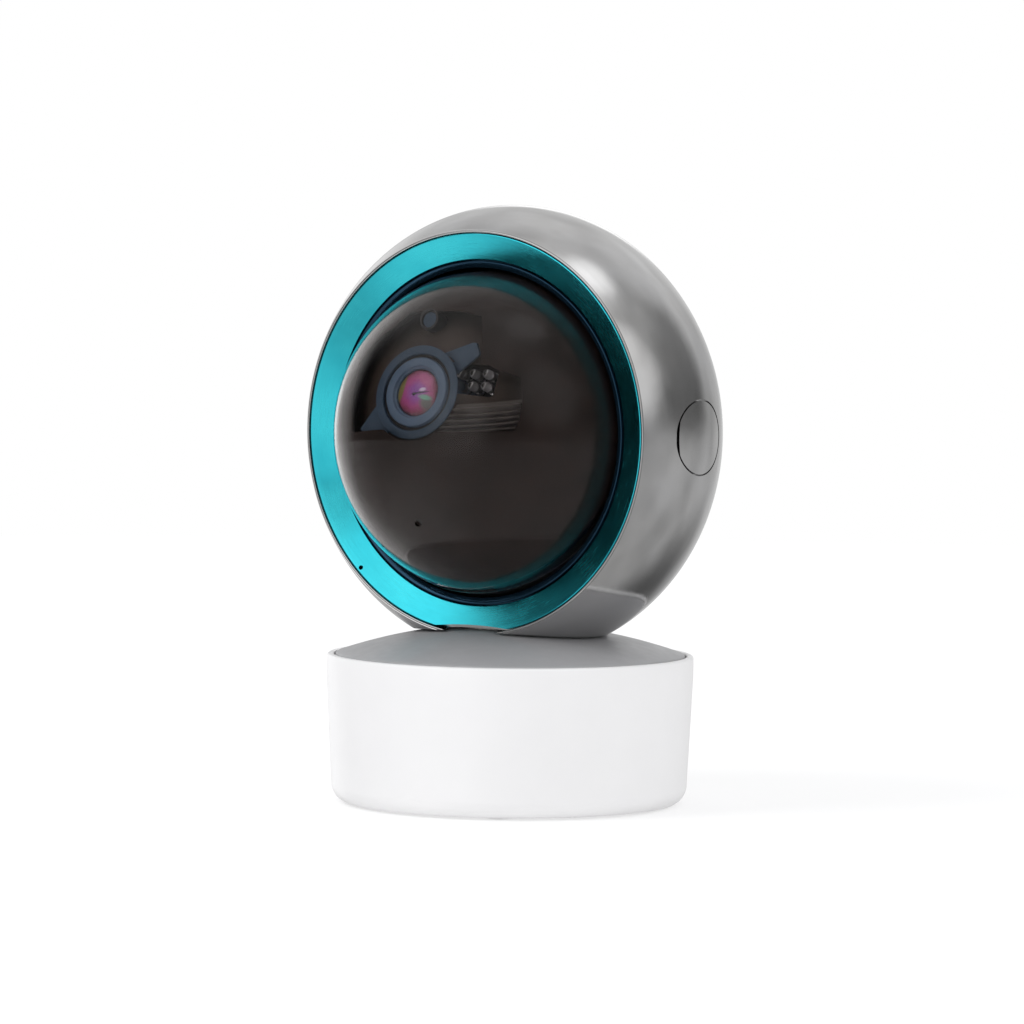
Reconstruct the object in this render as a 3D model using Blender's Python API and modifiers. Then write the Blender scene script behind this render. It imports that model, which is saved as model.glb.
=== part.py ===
"""Indoor security camera: a chrome-plated head that pans on a round base, with a tinted ball that tilts in it.

Metres, +Z up. The origin is the middle of the base's underside, and the front faces -Y.
The pan axis is Z. The tilt axis runs along X through the ball's centre.
"""

from math import acos, asin, atan2, cos, pi, radians, sin, sqrt, tan

import bmesh
import bpy
from mathutils import Matrix, Vector

MM = 0.001

# Driving dimensions, in millimetres.
HEAD_RADIUS = 42.27  # the head is a ball flattened front to back
HEAD_DEPTH = 29.57
HEAD_Z = 69.43
HEAD_WALL = 2.2
RING_Y = -13.75  # front edge of the head shell
RING_INNER = 31.97
BALL_RADIUS = 30.89
BALL_Y = -4.52
BALL_WALL = 1.4
LENS_UP = 16.0  # degrees that the lens looks up at rest
BASE_FOOT_RADIUS = 33.3
BASE_RADIUS = 34.3
BASE_HEIGHT = 27.83
BASE_WALL = 2.0
BASE_FILLET = 3.6  # round between the base's side and its underside
BASE_LIFT = 0.4  # from the table up to the base shell
BASE_OPENING = 30.5
RIM_INNER = 33.0
FOOT_PAD_RADIUS = 25.5
FOOT_PAD_HEIGHT = 1.1
USB_HEIGHT = 8.0
USB_REAR = 33.4
GRILLE_HOLE = 0.75
GRILLE_STEP = (3.0, 3.2)  # sideways and upwards
GRILLE_LOWEST = 14.6
SPEAKER_HEIGHT = 17.8
CAP_RISE = 5.6
CAP_SPHERE = 100.0
CAP_WALL = 2.0
NECK_GAP = 0.5  # between the head's underside and the base cap
GAP = 0.3  # between pieces that touch
FLOOR = 1.8  # thickness of the head shell over the base cap
LIP = 0.6  # and under the front ring
NECK_HOLE = 10.2

PAN_MODULE = 0.8
PAN_GEAR_TEETH = 45
PAN_PINION_TEETH = 10
TILT_MODULE = 0.6
TILT_GEAR_TEETH = 24
TILT_PINION_TEETH = 12
BACKLASH = 0.14
PRESSURE_ANGLE = radians(20)
ADDENDUM = 0.8
DEDENDUM = 1.15

SPINDLE_RADIUS = 7.6
SPINDLE_BORE = 4.6
PIVOT_RADIUS = 2.0
PAN_MOTOR_AZIMUTH = radians(225)
TILT_MOTOR_ANGLE = radians(130)  # of the tilt motor about the tilt axis, from the lens axis upwards
BOSS_CIRCLE = 27.9
BOSS_AZIMUTHS = (radians(60), radians(180), radians(300))
BOSS_RADIUS = 2.3
SCREW_HEAD_HOLE = 1.9
SIDE_CAP_RADIUS = 6.7
SIDE_CAP_Y = -0.8
SIDE_CAP_SEAT = 40.7  # distance of the recess's floor from the middle plane
SIDE_SCREW_Y = 2.08
RING_SEAT = 36.95
RING_OUTER = 36.65
RING_BACK = -11.0
MICROPHONE_ANGLE = radians(226)  # of the ring's microphone, from +X towards +Z
DOME_MICROPHONE_DROP = radians(47.5)  # below the lens axis
LIGHT_SENSOR_LIFT = radians(26)
PIVOT_NOTCH = 5.4
FAR = 40  # a cutter's reach past the part

BALL_CENTRE = Vector((0, BALL_Y, HEAD_Z))


# ---------------------------------------------------------------- helpers


def start():
    for obj in list(bpy.data.objects):
        bpy.data.objects.remove(obj, do_unlink=True)
    for name in ("security_camera", "cutters"):
        bpy.context.scene.collection.children.link(bpy.data.collections.new(name))


def material(name, colour, roughness, metallic=0.0, alpha=1.0):
    found = bpy.data.materials.get(name)
    if found:
        return found
    made = bpy.data.materials.new(name)
    made.use_nodes = True
    shader = made.node_tree.nodes["Principled BSDF"]
    shader.inputs["Base Color"].default_value = (*colour, 1)
    shader.inputs["Roughness"].default_value = roughness
    shader.inputs["Metallic"].default_value = metallic
    shader.inputs["Alpha"].default_value = alpha
    made.diffuse_color = (*colour, alpha)
    return made


WHITE = ("white_plastic", (0.86, 0.86, 0.87), 0.35)
GREY = ("grey_plastic", (0.38, 0.38, 0.40), 0.45)
BLACK = ("black_plastic", (0.015, 0.015, 0.018), 0.4)
GLOSS_BLACK = ("gloss_black_plastic", (0.01, 0.01, 0.014), 0.08)
CHROME = ("chrome_plating", (0.62, 0.62, 0.64), 0.12, 1.0)
TEAL = ("teal_anodised", (0.05, 0.42, 0.50), 0.22, 1.0)
SMOKE = ("smoked_dome", (0.05, 0.035, 0.03), 0.04, 0.0, 0.35)
GLASS = ("lens_glass", (0.12, 0.05, 0.16), 0.03, 0.0, 0.5)
BLUE_GREY = ("bracket_plastic", (0.07, 0.09, 0.13), 0.35)
STEEL = ("steel", (0.55, 0.56, 0.58), 0.3, 1.0)
BRASS = ("brass", (0.70, 0.52, 0.22), 0.3, 1.0)
BOARD = ("circuit_board", (0.02, 0.16, 0.07), 0.5)
POM = ("slide_plastic", (0.80, 0.79, 0.74), 0.45)
RUBBER = ("rubber", (0.03, 0.03, 0.03), 0.9)


def place(obj, name, finish, parent=None):
    obj.name = name
    for collection in list(obj.users_collection):
        collection.objects.unlink(obj)
    bpy.data.collections["security_camera"].objects.link(obj)
    obj.data.materials.clear()
    obj.data.materials.append(material(*finish))
    obj.parent = parent
    for step in obj.modifiers:
        if step.type == "BOOLEAN":
            step.object.parent = parent
    if obj.type == "MESH" and not obj.modifiers:
        obj.data.shade_smooth()
        obj.data.set_sharp_from_angle(angle=radians(35))
    return obj


def as_cutter(obj):
    obj.name = "cutter"
    for collection in list(obj.users_collection):
        collection.objects.unlink(obj)
    bpy.data.collections["cutters"].objects.link(obj)
    obj.hide_render = True
    obj.display_type = "WIRE"
    return obj


def new_object(mesh):
    obj = bpy.data.objects.new(mesh.name, mesh)
    bpy.context.scene.collection.objects.link(obj)
    return obj


def empty(name, location=(0, 0, 0), turn_x=0.0, parent=None):
    obj = bpy.data.objects.new(name, None)
    bpy.data.collections["security_camera"].objects.link(obj)
    obj.location = Vector(location) * MM
    obj.rotation_euler = (turn_x, 0, 0)
    obj.parent = parent
    return obj


def turned(profile, steps=48, axis="Z", at=(0, 0, 0)):
    """A turned piece. The profile's (radius, height) points run down the outer side, and round again if hollow.

    Heights run along +Z, along -Y (the front) for axis "F", or along +X for axis "X". The profile is closed where
    neither end is on the axis.
    """
    mesh = bpy.data.meshes.new("turned")
    closed = profile[0][0] > 0 or profile[-1][0] > 0
    count = len(profile)
    edges = [(i, (i + 1) % count) for i in range(count if closed else count - 1)]
    mesh.from_pydata([(r * MM, 0, h * MM) for r, h in profile], edges, [])
    obj = new_object(mesh)
    screw = obj.modifiers.new("turn", "SCREW")
    screw.steps = screw.render_steps = steps
    screw.use_merge_vertices = True
    screw.merge_threshold = 0.000002
    obj.rotation_euler = {"Z": (0, 0, 0), "F": (radians(90), 0, 0), "X": (0, radians(90), 0)}[axis]
    obj.location = Vector(at) * MM
    return obj


def applied(obj):
    """The object as a plain mesh, its modifiers and its own placing worked in."""
    bpy.context.view_layer.update()
    graph = bpy.context.evaluated_depsgraph_get()
    mesh = bpy.data.meshes.new_from_object(obj.evaluated_get(graph))
    mesh.transform(obj.matrix_world)
    shape = bmesh.new()
    shape.from_mesh(mesh)
    bmesh.ops.remove_doubles(shape, verts=shape.verts, dist=0.000002)
    bmesh.ops.recalc_face_normals(shape, faces=shape.faces)
    shape.to_mesh(mesh)
    shape.free()
    solid = new_object(mesh)
    bpy.data.objects.remove(obj, do_unlink=True)
    return solid


def cylinder(radius, low, high, axis="Z", at=(0, 0, 0), steps=24):
    return turned([(0, high), (radius, high), (radius, low), (0, low)], steps, axis, at)


def tube(outer, inner, low, high, axis="Z", at=(0, 0, 0), steps=32):
    return turned([(outer, high), (outer, low), (inner, low), (inner, high)], steps, axis, at)


def box(low, high, bevel=0.0):
    size = Vector(high) - Vector(low)
    bpy.ops.mesh.primitive_cube_add(size=1)
    obj = bpy.context.active_object
    obj.data.transform(Matrix.Diagonal((*(size * MM), 1)))
    obj.location = (Vector(low) + Vector(high)) / 2 * MM
    if bevel:
        edge = obj.modifiers.new("edges", "BEVEL")
        edge.width = bevel * MM
        edge.segments = 2
    return obj


def plate(outline, low, high, axis="Z", at=(0, 0, 0), holes=()):
    """A flat piece cut from sheet: (a, b) points of its outline, thickness from low to high along the axis."""
    curve = bpy.data.curves.new("outline", "CURVE")
    curve.dimensions = "2D"
    curve.fill_mode = "BOTH"
    curve.extrude = (high - low) / 2 * MM
    for points in (outline, *holes):
        spline = curve.splines.new("POLY")
        spline.points.add(len(points) - 1)
        for point, (a, b) in zip(spline.points, points):
            point.co = (a * MM, b * MM, 0, 1)
        spline.use_cyclic_u = True
    obj = bpy.data.objects.new("plate", curve)
    bpy.context.scene.collection.objects.link(obj)
    middle = (low + high) / 2
    shift = {"Z": (0, 0, middle), "F": (0, -middle, 0), "X": (middle, 0, 0)}[axis]
    obj.location = (Vector(at) + Vector(shift)) * MM
    obj.rotation_euler = {"Z": (0, 0, 0), "F": (radians(90), 0, 0), "X": (radians(90), 0, radians(90))}[axis]
    return applied(obj)


def circle(radius, count=24, centre=(0, 0)):
    turns = [2 * pi * i / count for i in range(count)]
    return [(centre[0] + radius * cos(a), centre[1] + radius * sin(a)) for a in turns]


def arc(radius, first, last, count, centre=(0, 0)):
    """Points along an arc; the angles are radians."""
    return [(centre[0] + radius * cos(a), centre[1] + radius * sin(a)) for a in spread(first, last, count)]


def boolean(obj, other, operation):
    as_cutter(other)
    step = obj.modifiers.new(operation.lower(), "BOOLEAN")
    step.operation = operation
    step.object = other
    return obj


def minus(obj, other):
    return boolean(obj, other, "DIFFERENCE")


def plus(obj, other):
    return boolean(obj, other, "UNION")


def common(obj, other):
    return boolean(obj, other, "INTERSECT")


def cap_height(radius, above=0.0):
    """Height of the base cap's top at this distance from the pan axis."""
    return BASE_HEIGHT + CAP_RISE - CAP_SPHERE + sqrt(CAP_SPHERE**2 - radius**2) + above


def under_cap(above, radius=60.0):
    """A cutter that fills everything below a surface parallel to the base cap's top."""
    top = [(r, cap_height(r, above)) for r in spread(0, radius, 9)]
    return turned([*top, (radius, 0), (0, 0)], 32)


def involute_angle(base, radius):
    """How far an involute from this base circle has turned when it reaches the radius."""
    pressure = acos(min(1, base / radius))
    return tan(pressure) - pressure


def gear_outline(teeth, module, turn=0.0):
    """Involute teeth with short tips, and a little of the thickness taken off each for backlash."""
    pitch = teeth * module / 2
    base = pitch * cos(PRESSURE_ANGLE)
    tip = pitch + ADDENDUM * module
    root = pitch - DEDENDUM * module
    half_at_pitch = pi / (2 * teeth) - BACKLASH / 2 / pitch
    half_base = half_at_pitch + involute_angle(base, pitch)
    lowest = max(base, root)
    radii = spread(lowest, tip, 3 if teeth < 20 else 2)
    flank = [(r, half_base - involute_angle(base, r)) for r in radii]
    if root < base:
        flank.insert(0, (root, half_base))
    points = []
    for tooth in range(teeth):
        middle = turn + 2 * pi * tooth / teeth
        points += [(r * cos(middle - half), r * sin(middle - half)) for r, half in flank]
        points += [(r * cos(middle + half), r * sin(middle + half)) for r, half in reversed(flank)]
    return points


# ---------------------------------------------------------------- base


def base_shell():
    drop = asin((BASE_FILLET - BASE_LIFT) / BASE_FILLET)
    foot = arc(BASE_FILLET, 0, -drop, 5, centre=(BASE_FOOT_RADIUS - BASE_FILLET, BASE_FILLET))
    rim_round = 0.5
    rim = arc(rim_round, radians(90), 0, 3, centre=(BASE_RADIUS - rim_round, BASE_HEIGHT - rim_round))
    profile = [
        (RIM_INNER, BASE_HEIGHT),
        *rim,
        (BASE_RADIUS, 24),
        *foot,
        (BASE_OPENING, BASE_LIFT),
        (BASE_OPENING, 2.9),
        (BASE_FOOT_RADIUS - BASE_WALL, 3.9),
        (BASE_RADIUS - BASE_WALL, 23.5),
        (BASE_RADIUS - BASE_WALL, 25.6),
        (RIM_INNER, 25.6),
    ]
    shell = applied(turned(profile, 48))
    slot = plate(rounded(4.9, 1.95, 1.9, (0, USB_HEIGHT)), -38, -28, "F")
    minus(shell, slot)
    for row in range(3):
        for column in range(-2, 3):
            spot = (GRILLE_STEP[0] * column, 0, GRILLE_LOWEST + GRILLE_STEP[1] * row)
            minus(shell, cylinder(GRILLE_HOLE, -38, -28, "F", spot, 6))
    return place(shell, "base_shell", WHITE)


def rounded(half_width, half_height, corner, centre=(0, 0), steps=4):
    """A rounded rectangle's outline."""
    points = []
    for quarter, (sx, sy) in enumerate(((1, 1), (-1, 1), (-1, -1), (1, -1))):
        middle = (centre[0] + sx * (half_width - corner), centre[1] + sy * (half_height - corner))
        points += arc(corner, quarter * pi / 2, (quarter + 1) * pi / 2, steps, middle)
    return points


def base_cap():
    edge = RIM_INNER - GAP
    sleeve = 12.0
    bore = 9.6
    radii = spread(bore, edge, 6)
    top = [(r, cap_height(r)) for r in radii]
    under = [(r, cap_height(r, -CAP_WALL)) for r in reversed(radii[1:-1])]
    under_edge = (edge, BASE_HEIGHT - CAP_WALL + 0.1)
    profile = [*top, under_edge, *under, (sleeve, 22.0), (bore, 22.0)]
    cap = applied(turned(profile, 48))
    for azimuth in BOSS_AZIMUTHS:
        centre = (BOSS_CIRCLE * cos(azimuth), BOSS_CIRCLE * sin(azimuth), 0)
        plus(cap, cylinder(BOSS_RADIUS, 4.4, 28.2, "Z", centre, 8))
        minus(cap, cylinder(1.15, 0, 14.0, "Z", centre, 6))
    for azimuth in (radians(10), radians(120), radians(320)):
        centre = (22.6 * cos(azimuth), 22.6 * sin(azimuth), 0)
        plus(cap, cylinder(1.5, 17.6, 29.4, "Z", centre, 6))
    return place(cap, "base_cap", GREY)


def bottom_cover():
    profile = [
        (0, 2.6),
        (BASE_OPENING - GAP, 2.6),
        (BASE_OPENING - GAP, 0.6),
        (FOOT_PAD_RADIUS + GAP, 0.6),
        (FOOT_PAD_RADIUS + GAP, FOOT_PAD_HEIGHT + GAP),
        (0, FOOT_PAD_HEIGHT + GAP),
    ]
    cover = applied(turned(profile, 36))
    for azimuth in BOSS_AZIMUTHS:
        centre = (BOSS_CIRCLE * cos(azimuth), BOSS_CIRCLE * sin(azimuth), 0)
        minus(cover, cylinder(SCREW_HEAD_HOLE, 0, 3.2, "Z", centre, 10))
    return place(cover, "bottom_cover", WHITE)


def foot_pad():
    """A round rubber pad in the bottom cover's recess, which the camera stands on."""
    edge = 0.3
    profile = [
        (0, FOOT_PAD_HEIGHT),
        (FOOT_PAD_RADIUS, FOOT_PAD_HEIGHT),
        (FOOT_PAD_RADIUS, edge),
        (FOOT_PAD_RADIUS - edge, 0),
        (0, 0),
    ]
    return place(turned(profile, 48), "foot_pad", RUBBER)


def base_fittings():
    weight = applied(tube(25.4, 6.0, 2.9, 4.1, steps=32))
    place(weight, "ballast_plate", STEEL)
    screw = [(0, 9.0), (0.8, 9.0), (0.8, 2.6), (1.6, 2.0), (1.6, 0.9), (0, 0.9)]
    for number, azimuth in enumerate(BOSS_AZIMUTHS, 1):
        centre = (BOSS_CIRCLE * cos(azimuth), BOSS_CIRCLE * sin(azimuth), 0)
        place(turned(screw, 8, "Z", centre), f"base_screw_{number}", STEEL)
    board = applied(tube(25.2, 3.6, 4.8, 6.0, steps=32))
    plus(board, box((-6, 18, 4.8), (6, 30.2, 6.0)))
    place(board, "base_board", BOARD)
    socket = plate(rounded(4.5, 1.6, 1.55, (0, USB_HEIGHT)), -USB_REAR, -26.0, "F")
    minus(socket, plate(rounded(4.15, 1.25, 1.2, (0, USB_HEIGHT)), -36, -27.5, "F"))
    place(socket, "usb_socket", STEEL)
    place(box((7.5, -9, 6.3), (13.5, -1, 9.5), 0.2), "loom_socket", POM)
    basket = [(0, 29.9), (7.0, 29.9), (7.0, 29.0), (5.0, 26.8), (5.0, 25.0), (0, 25.0)]
    drum = turned([(r, -h) for r, h in reversed(basket)], 24, "F", (0, 0, SPEAKER_HEIGHT))
    place(drum, "speaker", BLACK)


def pan_drive():
    distance = (PAN_GEAR_TEETH + PAN_PINION_TEETH) * PAN_MODULE / 2
    centre = (distance * cos(PAN_MOTOR_AZIMUTH), distance * sin(PAN_MOTOR_AZIMUTH), 0)
    motor = [(0, 15.7), (8.8, 15.7), (8.8, 6.3), (0, 6.3)]
    motor = applied(turned(motor, 24, "Z", centre))
    plus(motor, cylinder(2.0, 15.0, 17.2, "Z", centre, 16))
    minus(motor, cylinder(1.05, 10.0, 18.0, "Z", centre, 12))
    place(motor, "pan_motor", STEEL)
    holder = plate(circle(24.6, 40), 16.0, 17.3, "Z", holes=[circle(9.4, 24), circle(2.4, 16, centre[:2])])
    place(holder, "motor_plate", STEEL)
    bush = [(9.9, 33.7), (9.9, 33.25), (9.3, 33.25), (9.3, 22.3), (7.9, 22.3), (7.9, 33.7)]
    place(turned(bush, 32), "pan_bushing", POM)
    half_tooth = pi / PAN_PINION_TEETH
    pivot = empty("pan_pinion_axis", centre)
    outline = gear_outline(PAN_PINION_TEETH, PAN_MODULE, PAN_MOTOR_AZIMUTH + pi + half_tooth)
    pinion = plate(outline, 17.6, 21.4)
    plus(pinion, cylinder(0.9, 11.0, 17.9, steps=12))
    place(pinion, "pan_pinion", BRASS, pivot)


# ---------------------------------------------------------------- head


def head_shell():
    inner_radius = HEAD_RADIUS - HEAD_WALL
    inner_depth = HEAD_DEPTH - HEAD_WALL
    angles = spread(asin(-RING_Y / HEAD_DEPTH), 0, 4)[:-1] + spread(0, -pi / 2, 9)
    outer = [(HEAD_RADIUS * cos(a), HEAD_DEPTH * sin(a)) for a in angles]
    shell = applied(turned([(0, -RING_Y), *outer], 48, "F", (0, 0, HEAD_Z)))
    minus(shell, under_cap(NECK_GAP))
    neck = RING_SEAT - 0.4
    start_angle = acos(neck / inner_radius)
    hollow = [(inner_radius * cos(a), inner_depth * sin(a)) for a in spread(start_angle, -pi / 2, 9)]
    hollow = applied(turned([(0, -RING_Y + 3), (neck, -RING_Y + 3), *hollow], 36, "F", (0, 0, HEAD_Z)))
    minus(hollow, under_cap(NECK_GAP + FLOOR))
    minus(shell, hollow)
    ring_seat = applied(cylinder(RING_SEAT, -RING_BACK - GAP, 17, "F", (0, 0, HEAD_Z), 48))
    minus(ring_seat, under_cap(NECK_GAP + LIP))
    minus(shell, ring_seat)
    minus(shell, cylinder(NECK_HOLE, 20, 40, steps=24))
    for side in (-1, 1):
        pole = (0, SIDE_CAP_Y, HEAD_Z)
        reach = sorted((side * SIDE_CAP_SEAT, side * 48))
        minus(shell, cylinder(SIDE_CAP_RADIUS + GAP, *reach, "X", pole, 24))
        reach = sorted((side * 30, side * 48))
        minus(shell, cylinder(1.3, *reach, "X", (0, SIDE_SCREW_Y, HEAD_Z), 8))
    return place(shell, "head_shell", CHROME)


def spread(first, last, count):
    return [first + (last - first) * i / (count - 1) for i in range(count)]


def front_ring():
    profile = [
        (RING_INNER, -11.75),
        (RING_OUTER - 0.15, -13.5),
        (RING_OUTER, -13.35),
        (RING_OUTER, RING_BACK),
        (RING_INNER, RING_BACK),
    ]
    ring = applied(turned([(r, -y) for r, y in profile], 48, "F", (0, 0, HEAD_Z)))
    along = (cos(MICROPHONE_ANGLE), sin(MICROPHONE_ANGLE))
    spot = (36.0 * along[0], 0, HEAD_Z + 36.0 * along[1])
    minus(ring, cylinder(0.5, 5, 20, "F", spot, 8))
    minus(ring, under_cap(NECK_GAP + LIP + GAP))
    place(ring, "front_ring", TEAL)
    spot = (34.9 * along[0], 0, HEAD_Z + 34.9 * along[1])
    place(cylinder(1.6, 8.4, 9.6, "F", spot, 12), "ring_microphone", STEEL)


def inner_collar():
    profile = [
        (30.5, -11.35),
        (31.55, -11.95),
        (31.67, -11.85),
        (31.67, -9.9),
        (33.0, -9.9),
        (33.0, -8.3),
        (31.15, -8.3),
        (30.85, -9.6),
    ]
    ring = turned([(r, -y) for r, y in profile], 40, "F", (0, 0, HEAD_Z))
    place(ring, "inner_collar", GLOSS_BLACK)


def side_caps():
    for side, word in ((-1, "left"), (1, "right")):
        radii = (HEAD_RADIUS - 0.03, HEAD_DEPTH - 0.03)
        curve = [(radii[0] * cos(a), radii[1] * sin(a)) for a in spread(pi / 2, -pi / 2, 21)]
        crown = applied(turned(curve, 48, "F", (0, 0, HEAD_Z)))
        reach = sorted((side * 41.0, side * 48))
        cap = applied(cylinder(SIDE_CAP_RADIUS, *reach, "X", (0, SIDE_CAP_Y, HEAD_Z), 24))
        common(cap, crown)
        place(cap, f"side_cap_{word}", CHROME)
        reach = sorted((side * 35.4, side * 40.6))
        screw = cylinder(0.95, *reach, "X", (0, SIDE_SCREW_Y, HEAD_Z), 12)
        place(screw, f"side_screw_{word}", STEEL)


def yoke():
    inner = 31.7
    outer = 36.4
    foot = 36.2 - HEAD_Z
    top = 7.0
    side = sqrt(outer**2 - foot**2)
    outline = arc(outer, atan2(top, sqrt(outer**2 - top**2)), atan2(foot, side), 14)
    outline += [(-x, z) for x, z in reversed(outline)]
    outline += arc(inner, pi - asin(top / inner), 2 * pi + asin(top / inner), 26)
    frame = plate(outline, -BALL_Y - 3.3, -BALL_Y + 3.3, "F", (0, 0, HEAD_Z))
    for sign in (-1, 1):
        lug = sorted((sign * 32.6, sign * 35.1))
        plus(frame, box((lug[0], BALL_Y + 2.6, HEAD_Z - 3), (lug[1], BALL_Y + 9.2, HEAD_Z + 3)))
    minus(frame, cylinder(PIVOT_RADIUS + 0.3, -45, 45, "X", BALL_CENTRE, 20))
    return place(frame, "yoke", BLACK)


def spindle():
    profile = [
        (9.6, 35.9),
        (9.6, 34.0),
        (SPINDLE_RADIUS, 34.0),
        (SPINDLE_RADIUS, 15.6),
        (SPINDLE_BORE, 15.6),
        (SPINDLE_BORE, 35.9),
    ]
    place(turned(profile, 32), "pan_spindle", POM)
    wheel = plate(gear_outline(PAN_GEAR_TEETH, PAN_MODULE, PAN_MOTOR_AZIMUTH), 18.2, 21.4)
    minus(wheel, cylinder(SPINDLE_RADIUS + GAP, 10, 30, steps=32))
    place(wheel, "pan_gear", POM)
    place(tube(9.1, SPINDLE_RADIUS + GAP, 17.4, 17.9, steps=24), "spindle_clip", STEEL)


def pivots():
    left = applied(tube(PIVOT_RADIUS, 1.3, -35.8, -25.4, "X", BALL_CENTRE, 20))
    place(left, "tilt_pivot_left", STEEL)
    right = applied(cylinder(PIVOT_RADIUS, 21.2, 35.8, "X", BALL_CENTRE, 20))
    place(right, "tilt_pivot_right", STEEL)
    lean = radians(LENS_UP) + TILT_MOTOR_ANGLE
    # The outline's first axis is +Y here, and the pinion stands at this angle from it.
    wheel = plate(gear_outline(TILT_GEAR_TEETH, TILT_MODULE, pi - lean), 21.6, 23.8, "X", BALL_CENTRE)
    minus(wheel, cylinder(PIVOT_RADIUS + GAP, 15, 30, "X", BALL_CENTRE, 20))
    place(wheel, "tilt_fixed_gear", POM)


def wiring_loom():
    """A round cable up the hollow spindle, round the ball's left side and into the hollow left pivot."""
    height = BALL_CENTRE.z
    route = [(0, 1.8, 12.0), (0, 1.8, 20.0), (0, 1.9, 30.0), (-0.6, 2.6, 35.4)]
    for angle, radius, y in (
        (-98, 32.3, 4.6),
        (-110, 32.9, 5.2),
        (-124, 34.0, 5.4),
        (-140, 35.8, 5.0),
        (-152, 37.3, 3.4),
        (-162, 37.9, 0.0),
        (-171, 38.0, -2.9),
    ):
        angle = radians(angle)
        route.append((radius * cos(angle), y, height + radius * sin(angle)))
    route += [(-38.0, -4.3, height - 2.4), (-37.4, BALL_Y, height - 0.5), (-36.2, BALL_Y, height)]
    route += [(-34.4, BALL_Y, height), (-30.0, BALL_Y, height), (-24.6, BALL_Y, height)]
    curve = bpy.data.curves.new("loom", "CURVE")
    curve.dimensions = "3D"
    curve.bevel_depth = 0.95 * MM
    curve.bevel_resolution = 1
    curve.use_fill_caps = True
    points = smooth_route(route, 2)
    spline = curve.splines.new("POLY")
    spline.points.add(len(points) - 1)
    for point, place_at in zip(spline.points, points):
        point.co = (*(place_at * MM), 1)
    obj = bpy.data.objects.new("loom", curve)
    bpy.context.scene.collection.objects.link(obj)
    place(applied(obj), "wiring_loom", BLACK)


def smooth_route(route, between):
    """Points along a Catmull-Rom curve through the route."""
    knots = [Vector(p) for p in route]
    knots = [2 * knots[0] - knots[1], *knots, 2 * knots[-1] - knots[-2]]
    points = []
    for a, b, c, d in zip(knots, knots[1:], knots[2:], knots[3:]):
        for step in range(between):
            t = step / between
            points.append(
                (2 * b + (c - a) * t + (2 * a - 5 * b + 4 * c - d) * t**2 + (3 * b - a - 3 * c + d) * t**3) / 2
            )
    return [*points, knots[-2]]


# ---------------------------------------------------------------- ball, built with the lens along -Y


def ball_shells(ball):
    radius = BALL_RADIUS
    inner = radius - BALL_WALL
    edge = radians(90) - asin(0.15 / radius)
    outside = [(radius * sin(a), radius * cos(a)) for a in spread(0, edge, 10)]
    inside = [(inner * sin(a), inner * cos(a)) for a in spread(edge, 0, 8)]
    dome = applied(turned([*outside, *inside], 40, "F"))
    minus(dome, cylinder(PIVOT_NOTCH, -FAR, FAR, "X", steps=16))
    minus(dome, at_angle(cylinder(0.6, 20, FAR, "F", steps=8), -DOME_MICROPHONE_DROP))
    minus(dome, box((-6.4, -2.6, -34), (6.4, -0.9, -22)))
    minus(dome, box((-11.5, -2.5, -34), (-8.5, -0.7, -22)))
    place(dome, "dome", SMOKE, ball)

    radius -= 0.25
    inner = radius - 1.6
    edge = radians(90) - asin(0.15 / radius)
    outside = [(radius * sin(a), -radius * cos(a)) for a in spread(edge, 0, 9)]
    inside = [(inner * sin(a), -inner * cos(a)) for a in spread(0, edge, 7)]
    rear = applied(turned([*outside, *inside], 36, "F"))
    minus(rear, cylinder(PIVOT_NOTCH, -FAR, FAR, "X", steps=16))
    place(rear, "ball_rear_shell", BLACK, ball)


def at_angle(obj, lift):
    """Turns a piece that was built along the lens axis up about the tilt axis, by this angle."""
    obj.rotation_euler = (radians(90) - lift, 0, 0)
    return obj


def ball_frame(ball):
    ring = applied(tube(28.6, 25.6, -1.6, 1.6, "F", steps=36))
    for side in (-1, 1):
        reach = sorted((side * 25.6, side * 30.2))
        plus(ring, cylinder(5.0, *reach, "X", steps=16))
    minus(ring, cylinder(PIVOT_RADIUS + 0.25, -FAR, FAR, "X", steps=16))
    minus(ring, box((-12.5, -4, -FAR), (8.6, 4, -20)))
    place(ring, "ball_frame", BLACK, ball)


def boards(ball):
    """The main board stands across the ball, just in front of its centre, with notches for the pivots."""
    board = applied(cylinder(26.9, 3.4, 4.6, "F", steps=48))
    for side in (-1, 1):
        reach = sorted((side * 20.6, side * 32))
        minus(board, box((reach[0], -8, -9.2), (reach[1], 0, 9.2)))
    place(board, "main_board", BOARD, ball)
    place(box((-18, -2.9, -9), (4, 0.4, 9), 0.3), "shield_can", STEEL, ball)
    place(box((-6.2, -3.1, -28.0), (6.2, -0.9, -14.0), 0.15), "card_socket", STEEL, ball)
    place(box((-9, -3.1, 17.6), (9, -2.3, 23.4)), "wifi_antenna", BOARD, ball)
    place(box((-3.4, -5.9, -3.4), (3.4, -4.9, 3.4)), "image_sensor", GLOSS_BLACK, ball)


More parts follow.
